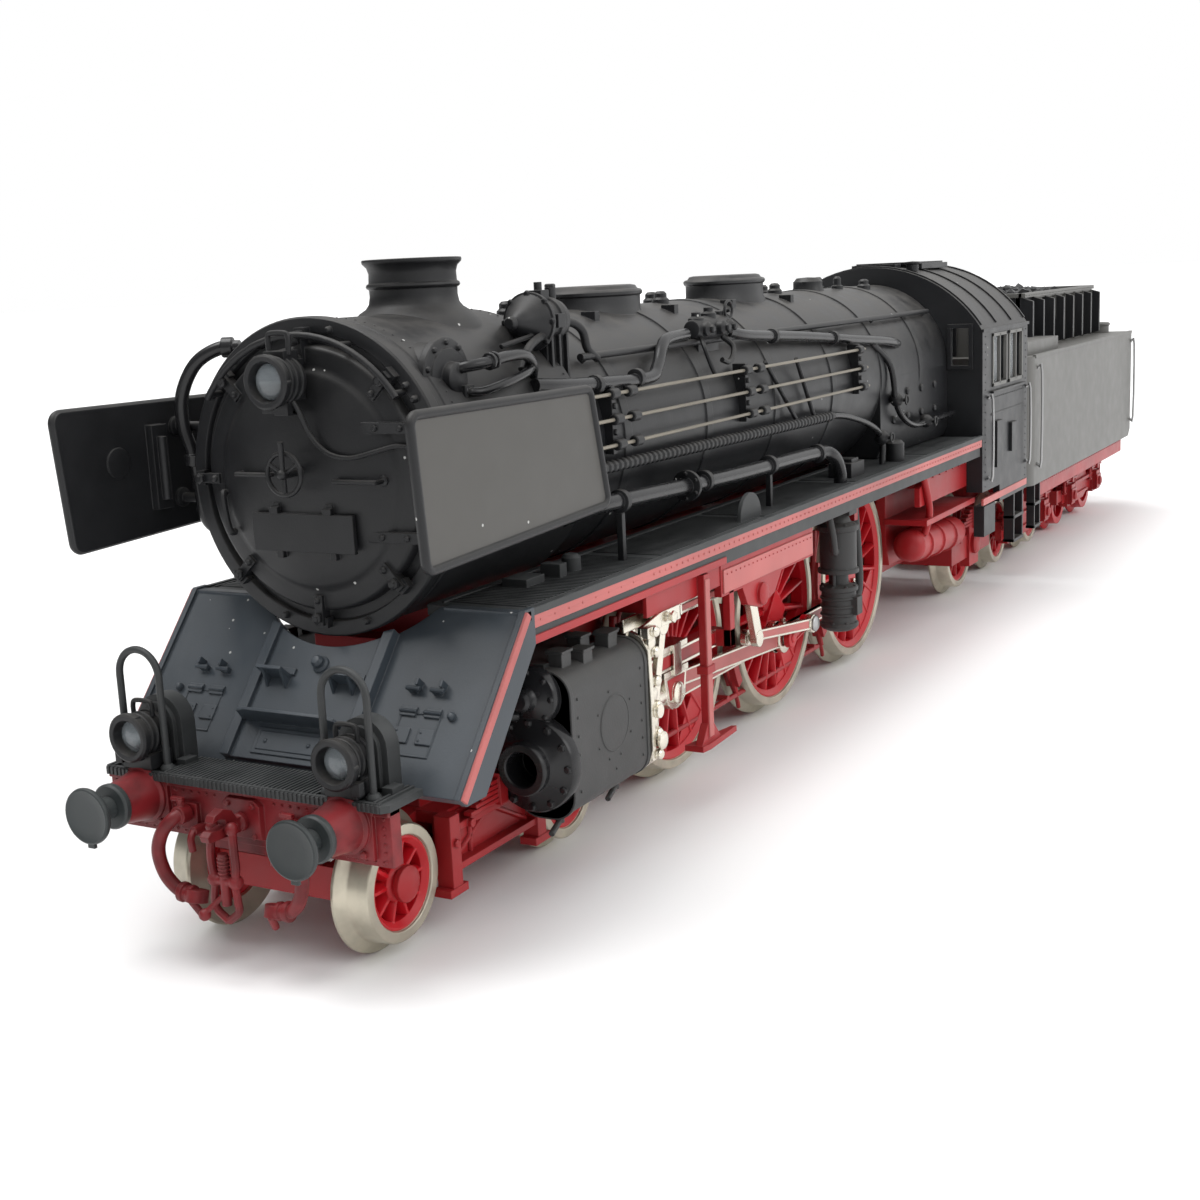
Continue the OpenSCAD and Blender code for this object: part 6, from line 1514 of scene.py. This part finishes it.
def build_bogie_details():
    b = Shape()
    m = b.mark()
    # Equaliser, spring and axle boxes inside the leading bogie
    for x in LEAD_AXLES:
        b.lathe([(1.5, 9.9), (1.5, 10.4), (1.0, 10.7), (0, 10.7)], (x, 0, 4.9), Y, 16)
    b.side([(-19.6, 7.6), (-32.6, 7.6), (-32.6, 7.0), (-19.6, 7.0)], 9.2, 10.6)
    b.side([(-19.6, 4.2), (-32.6, 4.2), (-32.6, 3.6), (-19.6, 3.6)], 9.2, 10.6)
    b.side([(-19.6, 7.0), (-32.6, 7.0), (-32.6, 4.2), (-19.6, 4.2)], 9.2, 9.6)
    for x0, z0, x1, z1 in ((-20.4, 4.2, -25.6, 7.0), (-26.6, 7.0, -31.8, 4.2), (-23.0, 4.2, -23.0, 7.0)):
        b.rod((x0, 9.7, z0), (x1, 9.7, z1), 0.24, 6)
    for x in (-19.4, -32.8):
        b.box((x - 0.7, 9.2, 2.4), (x + 0.7, 10.8, 8.6))
        b.box((x - 1.3, 9.2, 1.8), (x + 1.3, 10.9, 2.5))
        b.bolt((x, 10.8, 6.2), Y, 0.4, 0.3)
    for k in range(5):
        h = 4.8 - k * 0.8
        b.box((-26.1 - h, 10.4, 7.9 + k * 0.42), (-26.1 + h, 11.2, 8.25 + k * 0.42))
    b.box((-26.7, 10.2, 7.6), (-25.5, 11.4, 10.4))
    for x in (-21.8, -30.4):
        b.rod((x, 9.0, 7.2), (x, 11.0, 7.2), 0.4, 8)
    b.box((-31.4, 8.6, 4.4), (-20.6, 9.1, 5.0))
    b.box((-31.4, 8.6, 7.2), (-20.6, 9.1, 7.9))
    b.mirror(m)
    piece("bogie_springs", b, [RED], "lead_bogie", (), 0.04)

    for body, cx in (("tender_bogie", BOGIES[0]), ("power_bogie", BOGIES[1])):
        t = Shape()
        m = t.mark()
        for s in (-1, 1):
            x = cx + s * TENDER_PITCH / 2
            t.box((x - 1.5, 12.0, 4.0), (x + 1.5, 12.9, 7.8))
            t.box((x - 1.7, 12.8, 4.4), (x + 1.7, 13.1, 7.0))
            t.lathe([(0.9, 13.05), (0.9, 13.4), (0.5, 13.6), (0, 13.6)], (x, 0, 5.7), Y, 14)
            for k in range(5):
                h = 4.4 - k * 0.75
                t.box((x - h, 11.7, 8.6 + k * 0.42), (x + h, 12.6, 8.95 + k * 0.42))
            t.box((x - 0.6, 11.5, 8.2), (x + 0.6, 12.9, 11.0))
            for q in (-4.1, 4.1):
                t.rod((x + q, 12.1, 6.6), (x + q, 12.1, 9.2), 0.3, 8)
                t.bolt((x + q, 12.1, 6.6), -Z, 0.45, 0.35)
            # Brake shoe inside each wheel
            shoe = arc(x, 5.75, 7.1, 150 if s > 0 else -30, 210 if s > 0 else 30, 7)
            shoe += arc(x, 5.75, 6.05, 210 if s > 0 else 30, 150 if s > 0 else -30, 7)
            t.side(shoe, 8.3, 9.8)
        t.box((cx - 14.9, 11.5, 6.9), (cx + 14.9, 12.1, 7.5))
        t.box((cx - 5.6, 11.5, 4.5), (cx + 5.6, 12.0, 5.0))
        t.rivets((cx - 14, 11.6, 6.2), (cx - 6.6, 11.6, 6.2), 7, Y, 0.16, 0.12)
        t.rivets((cx + 6.6, 11.6, 6.2), (cx + 14, 11.6, 6.2), 7, Y, 0.16, 0.12)
        t.rivets((cx - 2.4, 11.6, 9.4), (cx + 2.4, 11.6, 9.4), 4, Y, 0.16, 0.12)
        t.mirror(m)
        piece(body + "_boxes", t, [RED], body, (), 0.04)


# ---------------------------------------------------------------- tender

TENDER_FRONT, TENDER_BACK = -179.0, -263.0


def build_tender():
    s = Shape()
    # Beading round the top edge
    m = s.mark()
    # Material 0 here is the tender's grey, painted sheen on black paint
    s.use(0).box((TENDER_BACK + 3, 16.55, 34.7), (TENDER_FRONT - 3, 17.15, 35.25))
    # Narrow bunker: leaning ribs in dark bays, and the coping strip
    for i in range(8):
        x = -200.9 - i * 7.55
        s.use(1).side([(x - 0.55, 35), (x + 0.55, 35), (x + 0.5, 44.0), (x - 0.5, 44.0)], 9.7, 11.9, 0.86)
    s.use(1).box((-208.2, 8.9, 34.8), (-200.4, 9.75, 44.2))
    s.use(0).box((-254.4, 9.4, 44.0), (-200.2, 10.6, 44.75))
    s.rivets((-201, 10.6, 44.35), (-253, 10.6, 44.35), 46, Y, 0.13, 0.1)
    # Handrails and steps
    for x in (TENDER_FRONT - 4.6, TENDER_BACK + 3.4):
        s.use(2).tube([(x, 17.0, 17.5), (x, 17.7, 17.8), (x, 17.7, 32.6), (x, 17.0, 32.9)], 0.2, 8, 3)
    s.use(1).box((-186.4, 15.6, 6.6), (-185.9, 16.9, 14.4))
    s.box((-182.9, 15.6, 6.6), (-182.4, 16.9, 14.4))
    for z in (6.6, 10.4):
        s.box((-186.4, 15.5, z), (-182.4, 17.0, z + 0.5))
    s.mirror(m)
    s.use(0).box((-254.6, -10, 44.0), (-253.4, 10, 44.75))
    s.box((-201.4, -10, 44.0), (-200.2, 10, 44.75))
    s.use(1).box((-201.2, -9.7, 34.8), (-200.4, 9.7, 44.2))
    s.box((-208.2, -9.0, 40.6), (-201.0, 9.0, 41.6))
    # Water fillers, tool lockers and lamps on the rear deck, and the front coal doors
    for y in (-10.5, 10.5):
        s.use(0).lathe([(2.3, 34.9), (2.3, 36.4), (2.5, 36.5), (2.5, 36.9), (2.2, 37.1), (0, 37.2)],
                       (-258.4, y, 0), Z, 28)
    s.box((-205, -15.2, 34.9), (-184, -10.4, 37.2))
    s.box((-205, 10.4, 34.9), (-184, 15.2, 37.2))
    s.box((-184.2, -9.6, 34.9), (-183.2, 9.6, 41.6))
    for y in (-6.4, -3.2, 0, 3.2, 6.4):
        s.use(1).box((-183.3, y - 0.35, 35.2), (-182.9, y + 0.35, 41.2))
    m = s.mark()
    s.lathe([(0, 1.6), (1.5, 1.6), (1.6, 1.2), (1.6, -0.9), (1.8, -1.0), (1.8, -1.5), (1.4, -1.6),
             (0, -1.5)], (-263.6, 10.2, 18.6), X, 26)
    s.tube([(-263.2, 9.4, 20.0), (-263.2, 9.4, 21.0), (-263.2, 11.0, 21.0), (-263.2, 11.0, 20.0)], 0.18, 8,
           3)
    s.mirror(m)
    # Ladder on the rear wall
    for y in (-2.6, 2.6):
        s.use(2).rod((-264.0, y, 16.0), (-264.0, y, 38.0), 0.28, 8)
        s.tube([(-264.0, y, 38.0), (-264.0, y, 39.6), (-262.4, y, 40.0), (-260.2, y, 38.4),
                (-260.0, y, 35.0)], 0.28, 8, 4)
    for k in range(7):
        s.rod((-264.0, -2.6, 17.4 + k * 3.0), (-264.0, 2.6, 17.4 + k * 3.0), 0.22, 8)
    # Rows of rivets on the rear wall
    m = s.mark()
    s.use(0).rivets((-263.0, 12.8, 17.0), (-263.0, 12.8, 33.6), 16, -X, 0.14, 0.1)
    s.rivets((-263.0, 4.6, 33.8), (-263.0, 12.4, 33.8), 8, -X, 0.14, 0.1)
    s.mirror(m)
    piece("tender_details", s, [TENDER_SHEEN_GREY, BLACK, STEEL], "tender", (), 0.04)

    f = Shape()
    m = f.mark()
    # Sill with its rivets, rear beam fittings and brake hoses
    f.rivets((-184, 15.95, 13.2), (-256, 15.95, 13.2), 50, Y, 0.15, 0.1)
    f.box((-257, 15.7, 14.0), (-183, 16.2, 14.9))
    f.box((-264.4, 7.6, 10.4), (-264.2, 12.6, 14.0))
    f.tube([(-264.2, 5.6, 12.2), (-265.4, 5.6, 12.2), (-266.0, 6.0, 10.8), (-266.0, 6.6, 8.6),
            (-265.8, 6.0, 7.2), (-265.6, 5.0, 6.8)], 0.45, 10, 5)
    f.rivets((-264.3, 3.4, 13.9), (-264.3, 13.6, 13.9), 10, -X, 0.15, 0.1)
    f.mirror(m)
    piece("tender_sill", f, [RED], "tender", (), 0.04)

    # Coal: a heap of broken lumps
    rng = random.Random(7)
    c = Shape()
    for i in range(340):
        x = rng.uniform(-252.2, -209.8)
        y = rng.uniform(-8.0, 8.0)
        crown = 1 - ((x + 231) / 25) ** 2 * 0.55 - (y / 9.5) ** 2 * 0.55
        z = 42.0 + 2.3 * crown + rng.uniform(-0.5, 0.3)
        r = rng.uniform(0.7, 1.35)
        n = 6
        turn = rng.uniform(0, 6.28)
        spin = Matrix.Rotation(turn, 3, (rng.uniform(-1, 1), rng.uniform(-1, 1), rng.uniform(-1, 1)))
        verts = [Vector((0, 0, r * 0.8))]
        for lat in (0.45, -0.4):
            for k in range(n):
                t = 2 * math.pi * (k + (0.5 if lat < 0 else 0)) / n
                q = r * rng.uniform(0.75, 1.1)
                verts.append(Vector((q * math.cos(t), q * math.sin(t), r * lat * rng.uniform(0.7, 1.2))))
        verts.append(Vector((0, 0, -r * 0.8)))
        faces = [(0, 1 + k, 1 + (k + 1) % n) for k in range(n)]
        for k in range(n):
            faces += [(1 + k, 1 + n + k, 1 + (k + 1) % n),
                      (1 + (k + 1) % n, 1 + n + k, 1 + n + (k + 1) % n)]
        faces += [(2 * n + 1, 1 + n + (k + 1) % n, 1 + n + k) for k in range(n)]
        c.add([spin @ v + Vector((x, y, z)) for v in verts], faces)
    c.box((-252.9, -8.7, 41.0), (-209.1, 8.7, 42.2))
    piece("coal", c, [COAL], "tender", ["coal_load"], 0, 20)


# -------------------------------------------------------------- assembly

build_boiler()
build_smokebox_front()
build_heater()
build_generator()
build_deflectors()
build_apron()
build_platform()
build_lamps()
build_beam()
build_running_boards()
build_cylinders()
build_motion_details()
build_pipes()
build_cab()
build_bogie_details()
build_drivers()
build_rods()
build_crossheads()
# Carrying wheels: piece, node, body, station, diameter, spokes, hub and journal
CARRYING = (
    ("lead_wheels_front", "lead_wheelset_front", "lead_axle_front", LEAD_AXLES[0], 9.8, 10, 1.55, 0),
    ("lead_wheels_rear", "lead_wheelset_rear", "lead_axle_rear", LEAD_AXLES[1], 9.8, 10, 1.55, 0),
    ("trailing_wheels", "trailing_wheelset", "trailing_axle", TRAIL_X, 14.4, 12, 2.0, 11.6),
    ("tender_wheels_front", "tender_wheelset_front", "tender_axle_front", BOGIES[0] + TENDER_PITCH / 2,
     11.5, 10, 1.7, 11.3),
    ("tender_wheels_rear", "tender_wheelset_rear", "tender_axle_rear", BOGIES[0] - TENDER_PITCH / 2,
     11.5, 10, 1.7, 11.3),
)
for name, node, body, x, d, spokes, hub, journal in CARRYING:
    plain_axle(name, node, body, x, d, spokes, hub, 0.42, 0.3, 1.2, journal)
build_tender()

# CAD nodes that stay visible, each with its finish
CAD_FINISH = {
    "main_frame": RED, "keeper_plate": RED, "lead_bogie_frame": RED,
    "trailing_truck_frame": RED, "tender_frame": RED, "tender_bogie_frame": RED,
    "power_bogie_frame": RED, "power_wheelset_front": WHEEL_RED, "power_wheelset_rear": WHEEL_RED,
    "handrails": SMOKE, "cab_shell": BLACK, "cab_glazing": CLEAR, "rear_coupler": BLACK,
    # The tender body's grey is painted sheen on its black paint
    "tender_body": TENDER_SHEEN_GREY, "chassis_screws": STEEL, "ballast_weight": STEEL, "motor_housing": STEEL,
    "motor_armature": COPPER, "drive_gear": PINION, "drawbar": STEEL,
    "combination_lever_left": NICKEL,
    "combination_lever_right": NICKEL, "expansion_link_left": NICKEL, "expansion_link_right": NICKEL,
    "radius_rod_left": NICKEL, "radius_rod_right": NICKEL,
}
for name, mat in CAD_FINISH.items():
    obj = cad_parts[name]
    for slot in obj.material_slots:
        slot.material = mat

# ----------------------------------------------------------------- stage

def plain(name, color, rough):
    mat = bpy.data.materials.new(name)
    mat.use_nodes = True
    bsdf = mat.node_tree.nodes["Principled BSDF"]
    bsdf.inputs["Base Color"].default_value = (*color, 1)
    bsdf.inputs["Roughness"].default_value = rough
    return mat


floor_mesh = bpy.data.meshes.new("floor")
far = 6.0
floor_mesh.from_pydata([(-far, -far, 0), (far, -far, 0), (far, far, 0), (-far, far, 0)], [], [(0, 1, 2, 3)])
floor_mesh.materials.append(plain("floor_white", (0.9, 0.9, 0.9), 0.7))
floor = bpy.data.objects.new("floor", floor_mesh)
bpy.context.scene.collection.objects.link(floor)

# Bright studio seen by the camera; the light itself comes mostly from above and from the left side
world = bpy.data.worlds.new("studio")
world.use_nodes = True
bpy.context.scene.world = world
bpy.context.scene.view_settings.view_transform = "Standard"
wn, wl = world.node_tree.nodes, world.node_tree.links
direction = wn.new("ShaderNodeTexCoord")
facing = wn.new("ShaderNodeVectorMath")
facing.operation = "DOT_PRODUCT"
facing.inputs[1].default_value = Vector((-0.35, 0.62, 0.70)).normalized()
wl.new(direction.outputs["Generated"], facing.inputs[0])
glow = wn.new("ShaderNodeMapRange")
for key, value in (("From Min", -0.35), ("From Max", 0.95), ("To Min", 0.14), ("To Max", 1.35)):
    glow.inputs[key].default_value = value
wl.new(facing.outputs["Value"], glow.inputs["Value"])
path = wn.new("ShaderNodeLightPath")
choose = wn.new("ShaderNodeMix")
choose.inputs[3].default_value = 1.0
wl.new(path.outputs["Is Camera Ray"], choose.inputs[0])
wl.new(glow.outputs["Result"], choose.inputs[2])
wl.new(choose.outputs[0], wn["Background"].inputs["Strength"])
wn["Background"].inputs["Color"].default_value = (1, 1, 1, 1)


def sun(name, towards, angle, strength):
    data = bpy.data.lights.new(name, "SUN")
    data.angle = math.radians(angle)
    data.energy = strength
    obj = bpy.data.objects.new(name, data)
    bpy.context.scene.collection.objects.link(obj)
    obj.rotation_euler = Vector(towards).to_track_quat("-Z", "Y").to_euler()


sun("key", (-0.15, 0.35, -1.0), 45, 2.1)
sun("side", (0.1, -1.0, -0.55), 30, 0.45)

# Camera, from a fit of known stations
CAM_PLACE = (83.114, 83.15, 51.109)
CAM_AZ, CAM_EL, CAM_ROLL = math.radians(119.421), math.radians(11.41), math.radians(-2.645)
LENS = 48.18453
back = Vector((math.sin(CAM_AZ) * math.cos(CAM_EL), -math.cos(CAM_AZ) * math.cos(CAM_EL), math.sin(CAM_EL)))
right = Z.cross(back).normalized()
up = back.cross(right)
right, up = (right * math.cos(CAM_ROLL) + up * math.sin(CAM_ROLL),
             up * math.cos(CAM_ROLL) - right * math.sin(CAM_ROLL))
cam_data = bpy.data.cameras.new("camera")
cam_data.sensor_width = 36
cam_data.lens = LENS
cam_data.clip_start = 0.005
cam = bpy.data.objects.new("camera", cam_data)
bpy.context.scene.collection.objects.link(cam)
pose = Matrix((right, up, back)).transposed().to_4x4()
pose.translation = at(CAM_PLACE)
cam.matrix_world = pose
bpy.context.scene.camera = cam
